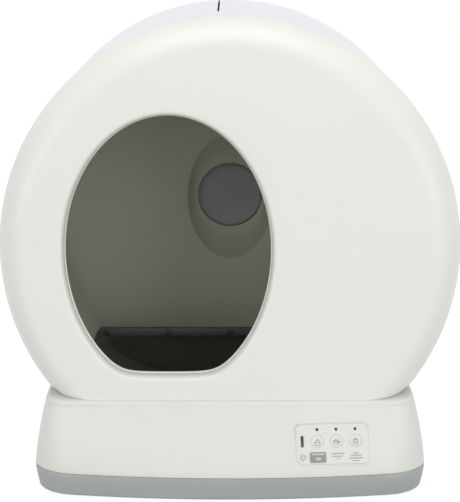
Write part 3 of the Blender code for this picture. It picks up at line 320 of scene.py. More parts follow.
# --- Base ---
# The white base: satin ABS, its front bowed and leaning back, with a deck that the housing stands
# on, a flanged well for the drum, and openings for the drawer, the control panel and the inlet.
HOUSING_WALL = 0.003
BASE_BOTTOM = 0.0277
DECK_HEIGHT = 0.107
DECK_ROUNDING = 0.0050
SHOULDER = DECK_HEIGHT - DECK_ROUNDING
EDGE_ROUNDINGS = (0.0060, 0.0045, 0.0045)
DECK_INSETS = (0.0390, 0.0140, 0.0030)
DECK_CORNER = 0.028
DECK_BOW_SHARE = 0.13
TAPER_POWER = 1.45
DECK_FALL = 0.0013
DECK_FALL_LENGTH = 0.018
WELL = (0.1655, -0.1965, 0.1600)
WELL_CORNER = 0.012
WELL_FLANGE = 0.012
WELL_ROUNDING = 0.0012
WELL_RIM_CENTRE = Vector((0, -0.018))
WELL_RIM_SHARE = 0.008
FALL_FROM = 0.080
FALL_TO = 0.095
PANEL_WIDTH = 0.083
PANEL_HEIGHT = 0.046
PANEL_CORNER = 0.008
PANEL_X = 0.115
PANEL_Z = 0.0636
PANEL_RECESS = 0.0012
SEAT_GAP = 0.0003
INLET_PLACE = Vector((-BASE_HALF_WIDTH, 0.150, 0.060))
INLET_RADIUS = 0.0062
INLET_FLANGE = 0.0085


def circle(radius, x=0.0, y=0.0, steps=24):
    """The points of a circle in local XY."""
    angles = [tau * i / steps for i in range(steps)]
    return [(x + radius * cos(angle), y + radius * sin(angle)) for angle in angles]


def taper(z):
    """How much of the base's taper is reached at a height."""
    return max(0.0, (z - BASE_BOTTOM) / (DECK_HEIGHT - BASE_BOTTOM)) ** TAPER_POWER


def base_insets(z, rounded=0.0):
    """How far the base's front, sides and rear lean in at a height, and over its top edge."""
    return [inset * taper(min(z, SHOULDER)) + edge * rounded
            for inset, edge in zip(DECK_INSETS, EDGE_ROUNDINGS)]


def wall_outline(z, rounded=0.0):
    """The base's plan at a height up its tapered wall."""
    share = taper(z)
    return base_outline(
        z, 0.0, base_insets(z, rounded), BASE_CORNER + (DECK_CORNER - BASE_CORNER) * share,
        1 - (1 - DECK_BOW_SHARE) * share)


def deck_fall(y):
    """How far the deck falls below its level towards its front edge."""
    return DECK_FALL * min(1.0, max(0.0, (WELL[1] - y) / DECK_FALL_LENGTH))


def front_wall(x, z):
    """A point on the base's bowed front wall."""
    bow = x ** 2 / (2 * BASE_BOW_RADIUS) * (1 - (1 - DECK_BOW_SHARE) * taper(z))
    return Vector((x, bow - BASE_HALF_DEPTH + base_insets(z)[0], z))


def panel_frame(x, z, recess):
    """The control panel's frame: X along it, Y up it and Z out of the front wall."""
    along = (front_wall(x + PANEL_WIDTH / 2, z) - front_wall(x - PANEL_WIDTH / 2, z)).normalized()
    up = front_wall(x, z + PANEL_HEIGHT / 2) - front_wall(x, z - PANEL_HEIGHT / 2)
    out = along.cross(up).normalized()
    turn = Matrix((along, out.cross(along), out)).transposed().to_4x4()
    return Matrix.Translation(front_wall(x, z) - out * recess) @ turn


def inlet_frame():
    """The power inlet's frame on the left wall, Z out of the wall as it leans."""
    side = INLET_PLACE.x + base_insets(INLET_PLACE.z)[1]
    lean = atan2(
        base_insets(INLET_PLACE.z + INLET_FLANGE)[1] - base_insets(INLET_PLACE.z - INLET_FLANGE)[1],
        INLET_FLANGE * 2)
    turn = Matrix.Rotation(lean - radians(90.0), 4, "Y")
    return shift(side, INLET_PLACE.y, INLET_PLACE.z) @ turn


# White ABS: a warm white satin skin, with the very fine grain of a spark-eroded mould.
white_abs = moulded_plastic("moulded_white_abs", "EAEBE5", "E6E7E1", 0.40, 1.3, 0.05)
# White ABS on the base and its panel: the shell's own warm white skin, painted a shade greyer as
# painted shade for the shade that falls on the base's front wall.
shaded_white_abs = moulded_plastic("moulded_white_abs_painted_shade", "E0E1DB", "DBDCD6", 0.42, 1.3, 0.05)

panel_place = panel_frame(PANEL_X, PANEL_Z, PANEL_RECESS)
brim = BASE_BOTTOM + HOUSING_WALL
rings = [base_outline(BASE_BOTTOM, 0.0004), base_outline(BASE_BOTTOM + 0.0004), base_outline(brim)]
rings += [wall_outline(brim + (SHOULDER - brim) * step / 18) for step in range(1, 19)]
for turn in quarter_turn(7, 1):
    rings.append(wall_outline(SHOULDER + DECK_ROUNDING * sin(turn), 1 - cos(turn)))
well_half, well_front, well_rear = WELL
well_middle = Vector((0, (well_front + well_rear) / 2))
well = [point + well_middle for point in rounded_rectangle(
    well_half, (well_rear - well_front) / 2, WELL_CORNER, 12, (24, 40))]
deck = [Vector(point) for point in rings[-1]]
for share in (0.25, 0.5, 0.75):
    level = Vector((0, 0, DECK_HEIGHT))
    rings.append([a.lerp(b.to_3d() + level, share) for a, b in zip(deck, well)])
rings.append([
    (*(point + (point - WELL_RIM_CENTRE) * WELL_RIM_SHARE), DECK_HEIGHT) for point in well])
rings.append([(*point, DECK_HEIGHT - WELL_ROUNDING) for point in well])
rings.append([(*point, DECK_HEIGHT - WELL_FLANGE) for point in well])
bm = pull_rings(rings)
for vertex in bm.verts:
    share = min(1.0, max(0.0, (vertex.co.z - FALL_FROM) / (FALL_TO - FALL_FROM)))
    vertex.co.z -= deck_fall(vertex.co.y) * share
open_hole(bm, panel_place, rounded_rectangle(
    PANEL_WIDTH / 2 + SEAT_GAP, PANEL_HEIGHT / 2 + SEAT_GAP, PANEL_CORNER), -0.012, 0.012)
open_hole(bm, rear_wall, doorway, -0.030, 0.02)
open_hole(bm, inlet_frame(), circle(INLET_RADIUS + SEAT_GAP), -0.006, 0.006)
add_piece("white_base", bm, shaded_white_abs, "housing", "white_plastic", "base_housing", wall=HOUSING_WALL)


# --- Rollers ---
# Four rubber-tyred rollers carry the drum, each on a steel pin in a forked bracket of grey ABS
# that is screwed to the deck.
AXIS_HEIGHT = 0.269
DRUM_RADIUS = 0.2225
ROLLER_RADIUS = 0.012
ROLLER_HALF_WIDTH = 0.008
ROLLER_BORE = 0.0033
ROLLER_PIN_RADIUS = 0.003
ROLLER_PIN_LENGTH = 0.0252
ROLLER_X = 0.185025
ROLLER_Z = 0.124443
ROLLER_FRONT_Y = -0.110
ROLLER_REAR_Y = 0.035
DRUM_AXIS = shift(0, 0, AXIS_HEIGHT) @ ALONG_Y


def metal(name, shade, worn, roughness, stroke_mm):
    """Machined or rolled metal: fine turning marks and a little variation in its polish."""
    strokes = pattern(stroke_mm, 4.0, 0.7)
    return clouded_finish(
        name, (shade, worn), strokes, (roughness - 0.1, roughness + 0.12), strokes, 0.12, 0.0001,
        Metallic=1.0)


# Zinc-plated steel: bright bluish grey, a little cloudy from the plating. Real marks are 0.1 mm
# apart, too fine to show, so the marks on all metals are drawn 1.5 to 2.2 mm apart.
plated_steel = metal("zinc_plated_steel", "B9BCC0", "9A9DA2", 0.34, 1.5)

for name in CORNERS:
    x = -ROLLER_X if "left" in name else ROLLER_X
    place = shift(x, ROLLER_FRONT_Y if "front" in name else ROLLER_REAR_Y, ROLLER_Z) @ ALONG_Y
    tyre = [
        (ROLLER_BORE, -ROLLER_HALF_WIDTH), (0.0072, -ROLLER_HALF_WIDTH), (0.0076, -0.0072),
        (0.0088, -0.0072), (0.0092, -ROLLER_HALF_WIDTH), (0.0106, -ROLLER_HALF_WIDTH),
        (0.0115, -0.0076), (ROLLER_RADIUS, -0.0066), (ROLLER_RADIUS, -0.0014), (0.0114, -0.0008)]
    tyre += [(radius, -height) for radius, height in reversed(tyre)]
    roller = "roller_" + name
    bm = turn_profile(tyre + tyre[:1], place)
    add_piece("rubber_" + roller, bm, black_rubber, roller, "black_rubber", roller)
    half = ROLLER_PIN_LENGTH / 2
    pin = [
        (0, -half), (ROLLER_PIN_RADIUS - CHAMFER, -half), (ROLLER_PIN_RADIUS, CHAMFER - half),
        (ROLLER_PIN_RADIUS, half - CHAMFER), (ROLLER_PIN_RADIUS - CHAMFER, half), (0, half)]
    add_piece(
        "steel_roller_pin_" + name, turn_profile(pin, place, 24), plated_steel, "housing", "steel",
        "roller_pin_" + name)
    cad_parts["roller_bracket_" + name].material_slots[0].material = grey_abs


# --- Drum drive ---
# A geared motor on a steel plate turns a moulded pinion, which meshes with the ring gear behind
# the bowl. Both gears are unfilled acetal, moulded with involute teeth.
RING_TEETH = 80
PINION_TEETH = 10
GEAR_MODULE = 0.0048
GEAR_WIDTH = 0.012
GEAR_FRONT_Y = 0.13814
RING_BORE = 0.18174
PRESSURE_ANGLE = 25.0
TOOTH_GAP = 0.00025
TOOTH_HEIGHT = 1.8
SHAFT_RADIUS = 0.004
SHAFT_LENGTH = 0.0270
MOTOR_STANDOFF = 0.0183
DRIVE_ANGLE = 210.0
DRIVE_X = -0.187061
DRIVE_Z = 0.161


def gear_outline(teeth, first_tooth, steps):
    """A gear's outline in local XY, with one tooth centred on an angle in degrees."""
    pitch = GEAR_MODULE * teeth / 2
    pressure = radians(PRESSURE_ANGLE)
    base = pitch * cos(pressure)
    half = pi / (2 * teeth) - TOOTH_GAP / pitch + tan(pressure) - pressure
    flank = []
    for step in range(steps + 1):
        radius = pitch - GEAR_MODULE + GEAR_MODULE * TOOTH_HEIGHT * step / steps
        roll = acos(min(1.0, base / max(radius, base)))
        flank.append((radius, half - tan(roll) + roll))
    outline = []
    for tooth in range(teeth):
        centre = radians(first_tooth) + tau * tooth / teeth
        for radius, away in [(r, -a) for r, a in flank] + flank[::-1]:
            outline.append((radius * cos(centre + away), radius * sin(centre + away)))
    return outline


def cut_gear(outline, bore, place):
    """A gear's bmesh: the toothed outline with its bore, its tooth ends a little rounded."""
    rings = []
    for height, shrink in ((0.0, None), (0.0, CHAMFER), (CHAMFER, 0.0), (GEAR_WIDTH - CHAMFER, 0.0),
                           (GEAR_WIDTH, CHAMFER), (GEAR_WIDTH, None)):
        ring = []
        for x, y in outline:
            radius = hypot(x, y)
            share = bore / radius if shrink is None else 1 - shrink / radius
            ring.append(place @ Vector((x * share, y * share, height)))
        rings.append(ring)
    return pull_rings(rings, loop=True)


# Natural acetal: waxy off-white with a soft sheen, a little greasy on its flanks.
acetal = moulded_plastic("moulded_acetal", "D9D8CC", "C9C8BB", 0.36, 1.6, 0.05, 1.48)
# Motor can: drawn steel under dull zinc, darker than the screws.
motor_zinc = metal("dull_zinc_can", "8D9094", "777A7E", 0.42, 2.2)

ring_gear = cut_gear(
    gear_outline(RING_TEETH, -DRIVE_ANGLE, 3), RING_BORE, DRUM_AXIS @ shift(0, 0, GEAR_FRONT_Y))
add_piece("acetal_ring_gear", ring_gear, acetal, "drum", "gear_plastic", "drum_ring_gear")

drive_place = shift(DRIVE_X, GEAR_FRONT_Y, DRIVE_Z) @ ALONG_Y
pinion_turn = 180.0 - DRIVE_ANGLE + 180.0 / PINION_TEETH
pinion = cut_gear(gear_outline(PINION_TEETH, pinion_turn, 5), SHAFT_RADIUS + 0.0001, drive_place)
add_piece("acetal_pinion", pinion, acetal, "pinion", "gear_plastic", "drive_pinion")

shaft = turn_profile([
    (0, 0), (SHAFT_RADIUS - CHAMFER, 0), (SHAFT_RADIUS, CHAMFER), (SHAFT_RADIUS, SHAFT_LENGTH),
    (0, SHAFT_LENGTH)], drive_place, 32)
add_piece("steel_motor_shaft", shaft, plated_steel, "pinion", "steel", "motor_shaft")

can = [
    (0, 0.050), (0.0060, 0.050), (0.0064, 0.0490), (0.0192, 0.0490), (0.0205, 0.0482),
    (0.0210, 0.0470), (0.0210, 0.0440), (0.0205, 0.0436), (0.0205, 0.0424), (0.0210, 0.0420),
    (0.0210, 0.018), (0.0228, 0.018), (0.0235, 0.0172), (0.0235, 0.0100), (0.0230, 0.0096),
    (0.0230, 0.0088), (0.0235, 0.0084), (0.0235, 0.0008), (0.0227, 0), (0.0044, 0),
    (0.0044, 0.012), (0, 0.012)]
motor = turn_profile(can, drive_place @ shift(0, 0, MOTOR_STANDOFF), 64)
add_piece("zinc_gear_motor", motor, motor_zinc, "housing", "motor_can", "gear_motor")
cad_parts["motor_bracket"].material_slots[0].material = plated_steel


# --- Drum ---
# The turning drum: a ported barrel with a lip ring at its mouth, and a bowl behind it with an oval
# recess. All are injection-moulded in one warm dark grey plastic and welded at the joint.
DRUM_WALL = 0.004
DRUM_FRONT_Y = -0.185
DRUM_JOINT_Y = 0.060
BOWL_DEPTH = 0.135
MOUTH_RADIUS = 0.192
MOUTH_BEAD = 0.0019
PORT_CENTRE_Y = -0.055
PORT_ANGLE = 96.0
PORT_HALF_WIDTH = 0.0425
PORT_HALF_LENGTH = 0.055
PORT_CORNER = 0.006
RECESS_HALF_WIDTH = 0.0570
RECESS_HALF_HEIGHT = 0.083
RECESS_FLOOR_Y = 0.2012
RECESS_WALL = 0.0025
RECESS_BORE = 0.0437
RECESS_SINK = 0.0035
RIM_ROUNDING = 0.002
BUSH_FRONT_Y = 0.2042
DRUM_STEPS = 192


def around(radius, y):
    """A circle about the drum's axis."""
    return [(x, y, z) for x, z in circle(radius, 0.0, AXIS_HEIGHT, DRUM_STEPS)]


# Warm dark grey ABS: a smooth satin inside that cleans easily, its colour clouded by litter dust.
drum_abs = moulded_plastic("moulded_warm_grey_abs", "D2D2C4", "CBCBBD", 0.45, 1.5, 0.06)

bm = pull_rings([
    around(DRUM_RADIUS, DRUM_JOINT_Y + (DRUM_FRONT_Y - DRUM_JOINT_Y) * i / 10) for i in range(11)])
port_turn = Matrix.Rotation(radians(90.0 - PORT_ANGLE), 4, "Y")
port_place = shift(0, PORT_CENTRE_Y, AXIS_HEIGHT) @ port_turn
port = rounded_rectangle(PORT_HALF_WIDTH, PORT_HALF_LENGTH, PORT_CORNER)
open_hole(bm, port_place, port, DRUM_RADIUS - 0.0225, DRUM_RADIUS + 0.0075)
add_piece("drum_barrel_shell", bm, drum_abs, "drum", "drum_plastic", "drum_barrel", wall=DRUM_WALL)

lip = [
    (DRUM_RADIUS, DRUM_FRONT_Y), (DRUM_RADIUS, DRUM_FRONT_Y - 0.0030),
    (DRUM_RADIUS - 0.0008, DRUM_FRONT_Y - MOUTH_BEAD * 2)]
for turn in range(0, 181, 15):
    angle = radians(turn)
    lip.append((
        MOUTH_RADIUS + MOUTH_BEAD * (1 - sin(angle)), DRUM_FRONT_Y - MOUTH_BEAD * (1 + cos(angle))))
bm = pull_rings([around(radius, y) for radius, y in lip], loop=True)
add_piece("drum_mouth_lip", bm, drum_abs, "drum", "drum_plastic", "drum_mouth_ring")


def recess_outline(share):
    """The recess's oval about the drum's axis, drawn in by a share."""
    half_width, half_height = RECESS_HALF_WIDTH * share, RECESS_HALF_HEIGHT * share
    return [(half_width * x, half_height * y) for x, y in circle(1.0, steps=DRUM_STEPS)]


def bowl_inside(radius):
    """How far back the bowl's inner face lies at a radius."""
    share = radius / (DRUM_RADIUS - DRUM_WALL)
    return DRUM_JOINT_Y + (BOWL_DEPTH - DRUM_WALL) * sqrt(max(0.0, 1 - share ** 2))


rings = [[] for _ in range(36)]
for x, z in recess_outline(1.0):
    oval = hypot(x, z)
    start = acos((oval + RIM_ROUNDING) / (DRUM_RADIUS - DRUM_WALL))
    section = [(DRUM_RADIUS - DRUM_WALL) * cos(start * step / 28) for step in range(29)]
    profile = [(radius, bowl_inside(radius)) for radius in section]
    first, corner = Vector(profile[-1]), Vector((oval, bowl_inside(oval)))
    last = corner + Vector((0, RIM_ROUNDING * 0.8))
    for step in range(1, 8):
        share = step / 7
        profile.append(first.lerp(corner, share).lerp(corner.lerp(last, share), share))
    for ring, (radius, y) in zip(rings, profile):
        ring.append((x / oval * radius, y, AXIS_HEIGHT + z / oval * radius))
bm = pull_rings(rings)
add_piece("drum_bowl_shell", bm, drum_abs, "drum", "drum_plastic", "drum_bowl", wall=-DRUM_WALL)

rim = [Vector((x, bowl_inside(hypot(x, z)) + RIM_ROUNDING * 0.6, AXIS_HEIGHT + z))
       for x, z in recess_outline(0.998)]
foot = around(RECESS_BORE, RECESS_FLOOR_Y)
rings = []
for step in range(15):
    share = step / 14
    sink = Vector((0, RECESS_SINK * sin(pi * share), 0))
    rings.append([a.lerp(b, share) + sink for a, b in zip(rim, foot)])
bm = pull_rings(rings)
add_piece("drum_recess_cup", bm, drum_abs, "drum", "drum_plastic", "drum_recess", wall=-RECESS_WALL)

# Black ABS: satin black, for the bush, the pod and the small fittings.
black_abs = moulded_plastic("moulded_black_abs", "1B1C1C", "222323", 0.38, 1.2, 0.08)

bush = [
    (0.0449, 0.0004), (0.0453, 0), (0.0495, 0), (0.0499, 0.0004), (0.0499, 0.0031),
    (0.0523, 0.0031), (0.0529, 0.0037), (0.0529, 0.0104), (0.0523, 0.011), (0.0455, 0.011),
    (0.0449, 0.0104)]
bush = turn_profile(bush + bush[:1], DRUM_AXIS @ shift(0, 0, BUSH_FRONT_Y), 128)
add_piece("drum_rear_bush", bush, black_abs, "drum", "black_plastic", "drum_bush")


# --- Litter bed ---
# A black rubber liner holds the litter. Its rear edge ramps up and is clamped by a moulded bar
# with five pan-head screws. The slotted sieve beside it is moulded with the drum's own plastic.
SEAT_RADIUS = 0.2183
LINER_THICKNESS = 0.0015
LINER_FRONT_Y = -0.181
LINER_SIDE_Z = 0.1305
RAMP_START_Y = -0.075
BAR_Z = 0.1290
BAR_HALF_LENGTH = 0.1655
BAR_HALF_HEIGHT = 0.0051
BAR_HALF_DEPTH = 0.0035
BAR_CORNER = 0.005
BAR_EDGE = 0.0009
FLANK_SLOPE = 0.445
FLANK_DROP = 0.0016
FLANK_SAG = 0.0045
FLANK_BLEND = 0.0015
FLANK_WIDTH = 0.09
FLANK_FRONT_RUN = 0.02
FLANK_REAR_RUN = 0.012
FLAT_SHARE = 0.25
BAR_ZONE_Y = -0.0045
SCREW_RADIUS = 0.0040
SCREW_HEAD = 0.0016
SCREW_PITCH = 0.0777
CROSS_REACH = 0.52
CROSS_WIDTH = 0.13
SIEVE_DISTANCE = 0.148
SIEVE_ANGLE = 20.0
SIEVE_THICKNESS = 0.003
SIEVE_EDGE = 0.0007
SIEVE_BORDER = 0.012
SIEVE_SLOT = 0.011
SIEVE_RIB = 0.006
SIEVE_SEAT_RADIUS = 0.21773
SIEVE_END_GAP = 0.004

bm = bmesh.new()
radius = SEAT_RADIUS - LINER_THICKNESS
edge_z = BAR_Z - BAR_HALF_HEIGHT - 0.0001
spread = acos((AXIS_HEIGHT - edge_z) / radius)
side_spread = acos((AXIS_HEIGHT - LINER_SIDE_Z) / radius)
side_edge = radius * sin(side_spread)
bmesh.ops.create_grid(bm, x_segments=144, y_segments=72, size=1.0)
for vertex in bm.verts:
    across, along = vertex.co.x, (vertex.co.y + 1) / 2
    if along < FLAT_SHARE:
        y, raised = LINER_FRONT_Y + (RAMP_START_Y - LINER_FRONT_Y) * along / FLAT_SHARE, 0.0
    else:
        share = (along - FLAT_SHARE) / (1 - FLAT_SHARE)
        y, raised = RAMP_START_Y * (1 - share), (1 - cos(pi * share)) / 2
    reach = spread if y > BAR_ZONE_Y else side_spread
    x, low = radius * sin(reach * across), AXIS_HEIGHT - radius * cos(reach * across)
    ramp = low + max(0.0, edge_z - low) * raised
    inward = side_edge - abs(x)
    sag = FLANK_SAG * sin(min(1.0, inward / FLANK_WIDTH) * pi)
    flank = LINER_SIDE_Z - FLANK_DROP - FLANK_SLOPE * inward - sag
    flank = low + (flank - low) * min(
        1.0, max(0.0, (y - LINER_FRONT_Y) / FLANK_FRONT_RUN), max(0.0, -y / FLANK_REAR_RUN))
    lift = (flank - ramp) / FLANK_BLEND
    lift = lift if lift > 20 else log1p(exp(max(-40.0, lift)))
    vertex.co = (x, y, min(ramp + lift * FLANK_BLEND, max(ramp, LINER_SIDE_Z)))
bmesh.ops.recalc_face_normals(bm, faces=bm.faces)
if sum(face.normal.z for face in bm.faces) < 0:
    bmesh.ops.reverse_faces(bm, faces=bm.faces)
bmesh.ops.solidify(bm, geom=bm.faces[:], thickness=LINER_THICKNESS)
add_piece("rubber_litter_liner", bm, black_rubber, "drum", "black_rubber", "litter_liner")

# Dark grey glass-filled nylon: stiffer and darker than the drum, with a dry, even sheen.
dark_nylon = moulded_plastic("moulded_dark_grey_nylon", "5A5A56", "53534F", 0.48, 1.2, 0.12)
bar_place = shift(0, 0, BAR_Z) @ ALONG_Y
rings = []
for height, margin in (
        (BAR_HALF_DEPTH, 0.0003), (BAR_HALF_DEPTH - 0.0003, 0), (BAR_EDGE - BAR_HALF_DEPTH, 0),
        (BAR_EDGE * 0.5 - BAR_HALF_DEPTH, BAR_EDGE * 0.134),
        (BAR_EDGE * 0.134 - BAR_HALF_DEPTH, BAR_EDGE * 0.5), (-BAR_HALF_DEPTH, BAR_EDGE)):
    rings.append([bar_place @ Vector((*point, height)) for point in rounded_rectangle(
        BAR_HALF_LENGTH - margin, BAR_HALF_HEIGHT - margin, BAR_CORNER - margin, 8, (1, 24))])
bm = pull_rings(rings, start=True, end=True)
add_piece("moulded_clamp_bar", bm, dark_nylon, "drum", "drum_plastic", "liner_clamp_bar")


def cross_recess(x, y):
    """How far out a cross recess reaches along a direction, as a share of the head's radius."""
    across, up = abs(x) + 1e-6, abs(y) + 1e-6
    return max(
        min(CROSS_REACH / across, CROSS_WIDTH / up), min(CROSS_REACH / up, CROSS_WIDTH / across))


# Black oxide steel: a dull, almost black skin that shows a little bare metal in the strokes.
black_oxide = metal("black_oxide_steel", "5E625F", "505451", 0.55, 1.5)

for number in range(1, 6):
    place = shift(SCREW_PITCH * (number - 3), -BAR_HALF_DEPTH, BAR_Z) @ ALONG_Y
    place = place @ Matrix.Rotation(radians(23.0 * number), 4, "Z")
    rings = []
    for height, share, crossed in (
            (0.45, 0.55, True), (0.98, 1.0, True), (0.97, 0.62, False), (0.86, 0.80, False),
            (0.62, 0.93, False), (0.30, 1.0, False), (0.0, 1.0, False)):
        ring = []
        for x, y in circle(1.0, steps=64):
            radius = SCREW_RADIUS * share * (cross_recess(x, y) if crossed else 1.0)
            ring.append(place @ Vector((radius * x, radius * y, -SCREW_HEAD * height)))
        rings.append(ring)
    bm = pull_rings(rings, start=True, end=True)
    add_piece(
        f"pan_head_screw_{number}", bm, black_oxide, "drum", "steel", f"bar_screw_{number}",
        sharp=50.0)


def flat_cut(outlines, low, high, edge, place, bm=None):
    """A plate filled between outlines, its holes left open, its edges softened."""
    bm = bm or bmesh.new()
    curve = bpy.data.curves.new("outlines", "CURVE")
    curve.dimensions = "2D"
    curve.fill_mode = "BOTH"
    curve.extrude = (high - low) / 2 - edge
    curve.bevel_depth = edge
    curve.bevel_resolution = 2
    curve.offset = -edge
    for outline in outlines:
        spline = curve.splines.new("POLY")
        spline.points.add(len(outline) - 1)
        for point, (x, y) in zip(spline.points, outline):
            point.co = (x, y, 0.0, 1.0)
        spline.use_cyclic_u = True
    holder = bpy.data.objects.new("outlines", curve)
    mesh = bpy.data.meshes.new_from_object(holder)
    mesh.transform(place @ shift(0, 0, (low + high) / 2))
    bm.from_mesh(mesh)
    bpy.data.objects.remove(holder)
    bpy.data.curves.remove(curve)
    bpy.data.meshes.remove(mesh)
    return bm


reach = sqrt(SIEVE_SEAT_RADIUS ** 2 - (SIEVE_DISTANCE + SIEVE_THICKNESS) ** 2)
sieve_front, sieve_rear = DRUM_FRONT_Y + SIEVE_END_GAP, DRUM_JOINT_Y - SIEVE_END_GAP
half_depth = (sieve_rear - sieve_front) / 2
outlines = [rounded_rectangle(half_depth, reach, SIEVE_BORDER / 2)]
pitch = SIEVE_SLOT + SIEVE_RIB
count = int((2 * reach - 2 * SIEVE_BORDER + SIEVE_RIB) / pitch)
for i in range(count):
    centre = pitch * (i - (count - 1) / 2)
    slot = rounded_rectangle(half_depth - SIEVE_BORDER, SIEVE_SLOT / 2, SIEVE_SLOT / 3, 5)
    outlines.append([(x, y + centre) for x, y in slot])
upright = Matrix(((0, 0, 1, 0), (1, 0, 0, 0), (0, 1, 0, 0), (0, 0, 0, 1)))
sieve_place = shift(0, (sieve_front + sieve_rear) / 2, AXIS_HEIGHT) @ Matrix.Rotation(
    radians(-SIEVE_ANGLE), 4, "Y") @ shift(SIEVE_DISTANCE, 0, 0) @ upright
bm = flat_cut(outlines, 0.0, SIEVE_THICKNESS, SIEVE_EDGE, sieve_place)
add_piece("slotted_sieve", bm, drum_abs, "drum", "drum_plastic", "sieve_grid")


# --- Sensor pod ---
# A fixed black pod on the hood's back wall. Its domed window of smoked polycarbonate looks into
# the drum through the recess and hides the sensor behind it.
POD_RADIUS = 0.0445
POD_REAR_Y = 0.2527
POD_WALL = 0.0030
LENS_RADIUS = 0.043
LENS_FRONT_Y = 0.2003
LENS_DOME = 0.0032
LENS_EDGE = 0.0020

# Smoked polycarbonate: bluish dark grey with a hard, even gloss and a faint flow mark.
smoked = clouded_finish(
    "smoked_polycarbonate", ("9DA2A5", "92979A"), pattern(40.0, 3.0, distortion=0.6), (0.36, 0.46),
    IOR=1.58)

thickness = LENS_DOME + LENS_EDGE
pod_front = LENS_FRONT_Y + thickness
length = POD_REAR_Y - pod_front
pod = turn_profile([
    (0, length), (POD_RADIUS, length), (POD_RADIUS, CHAMFER), (POD_RADIUS - CHAMFER, 0),
    (POD_RADIUS - POD_WALL, 0), (POD_RADIUS - POD_WALL, length - POD_WALL), (0, length - POD_WALL)],
    DRUM_AXIS @ shift(0, 0, pod_front), 128)
add_piece("black_sensor_pod", pod, black_abs, "housing", "black_plastic", "sensor_pod")

dome = [(0, thickness), (LENS_RADIUS - 0.0003, thickness), (LENS_RADIUS, thickness - 0.0003)]
dome += [(LENS_RADIUS, 0.0006), (LENS_RADIUS - 0.0003, 0.0002), (LENS_RADIUS - 0.0010, 0)]
for step in range(14, -1, -1):
    turn = radians(90.0) * step / 15
    dome.append((
        (LENS_RADIUS - 0.0016) * sin(turn), 0.0004 + (LENS_DOME - 0.0010) * cos(turn)))
lens = turn_profile(dome, DRUM_AXIS @ shift(0, 0, LENS_FRONT_Y), 128)
add_piece("smoked_sensor_lens", lens, smoked, "housing", "dark_lens", "sensor_lens")


# --- Waste drawer ---
# The drawer under the drum: a deep tub of grey ABS, its ends dipped to clear the drum, with a
# white front plate at the rear of the box that has a finger cup moulded into it.
DRAWER_HALF_WIDTH = 0.160
DRAWER_FRONT_Y = -0.180
DRAWER_REAR_Y = 0.234
DRAWER_BOTTOM = 0.0063
DRAWER_TOP = 0.088
DRAWER_CORNER = 0.016
DRAWER_EDGE = 0.008
DRAWER_WALL = 0.0025
SADDLE_RADIUS = 0.2325
PLATE_HALF_WIDTH = 0.166
PLATE_TOP = 0.0895
PLATE_REAR_Y = 0.257
PLATE_THICKNESS = 0.003
GRIP_HALF_WIDTH = 0.050
GRIP_HALF_HEIGHT = 0.013
GRIP_Z = 0.056
GRIP_CORNER = 0.0075
GRIP_FLARE = 0.002


def saddle(x):
    """The height of the drawer's rim, which dips under the drum."""
    return min(DRAWER_TOP, AXIS_HEIGHT - sqrt(SADDLE_RADIUS ** 2 - x ** 2))


middle = (DRAWER_FRONT_Y + DRAWER_REAR_Y) / 2
half = (DRAWER_REAR_Y - DRAWER_FRONT_Y) / 2
levels = [(0.0, 1.0), (0.0, 0.62), (0.15, 0.29), (0.5, 0.07), (1.0, 0.0)]
rings = []
for rise, share in levels:
    rings.append([(x, y + middle, DRAWER_BOTTOM + DRAWER_EDGE * rise) for x, y in rounded_rectangle(
        DRAWER_HALF_WIDTH - DRAWER_EDGE * share, half - DRAWER_EDGE * share,
        DRAWER_CORNER - DRAWER_EDGE * share, 8, (12, 48))])
floor_z = DRAWER_BOTTOM + DRAWER_EDGE
for step in range(1, 9):
    rings.append([
        (x, y, floor_z + (saddle(x) - floor_z) * step / 8) for x, y, _ in rings[len(levels) - 1]])
bm = pull_rings(rings, start=True)
add_piece(
    "grey_waste_tub", bm, grey_abs, "drawer", "grey_plastic", "waste_drawer", wall=DRAWER_WALL)

grip_rise = GRIP_Z - (PLATE_TOP + DRAWER_BOTTOM) / 2
half_height = (PLATE_TOP - DRAWER_BOTTOM) / 2
plate_place = shift(0, PLATE_REAR_Y, (PLATE_TOP + DRAWER_BOTTOM) / 2) @ ALONG_Y
cup_floor = DRAWER_REAR_Y + 0.0003 - PLATE_REAR_Y


def plate_ring(grow, corner, depth, cup=True):
    """An outline of the drawer's cup or plate, grown by a margin, at a depth from its face."""
    width, height, rise = (GRIP_HALF_WIDTH, GRIP_HALF_HEIGHT, grip_rise) if cup else (
        PLATE_HALF_WIDTH, half_height, 0.0)
    return [plate_place @ Vector((x, y - rise, depth)) for x, y in rounded_rectangle(
        width + grow, height + grow, corner, 8, (6, 12))]


rings = [
    plate_ring(-0.008, 0.003, cup_floor + 0.0025), plate_ring(-0.003, 0.0055, cup_floor + 0.0025),
    plate_ring(-0.0009, 0.0068, cup_floor + 0.0034),
    plate_ring(0.0, GRIP_CORNER, cup_floor + 0.0055), plate_ring(0.0, GRIP_CORNER, -GRIP_FLARE)]
for angle in quarter_turn(3, 1):
    flare = GRIP_FLARE * (1 - cos(angle))
    rings.append(plate_ring(flare, GRIP_CORNER + flare, GRIP_FLARE * sin(angle) - GRIP_FLARE))
rings += [
    plate_ring(-0.0010, 0.004, 0.0, False), plate_ring(-0.0003, 0.0047, -0.0003, False),
    plate_ring(0.0, 0.005, -0.0010, False), plate_ring(0.0, 0.005, -PLATE_THICKNESS, False),
    plate_ring(0.0025, 0.010, -PLATE_THICKNESS), plate_ring(0.0025, 0.010, cup_floor + 0.001),
    plate_ring(0.0015, 0.009, cup_floor)]
bm = pull_rings(rings, start=True, end=True)
add_piece("white_drawer_plate", bm, white_abs, "drawer", "white_plastic", "drawer_panel")


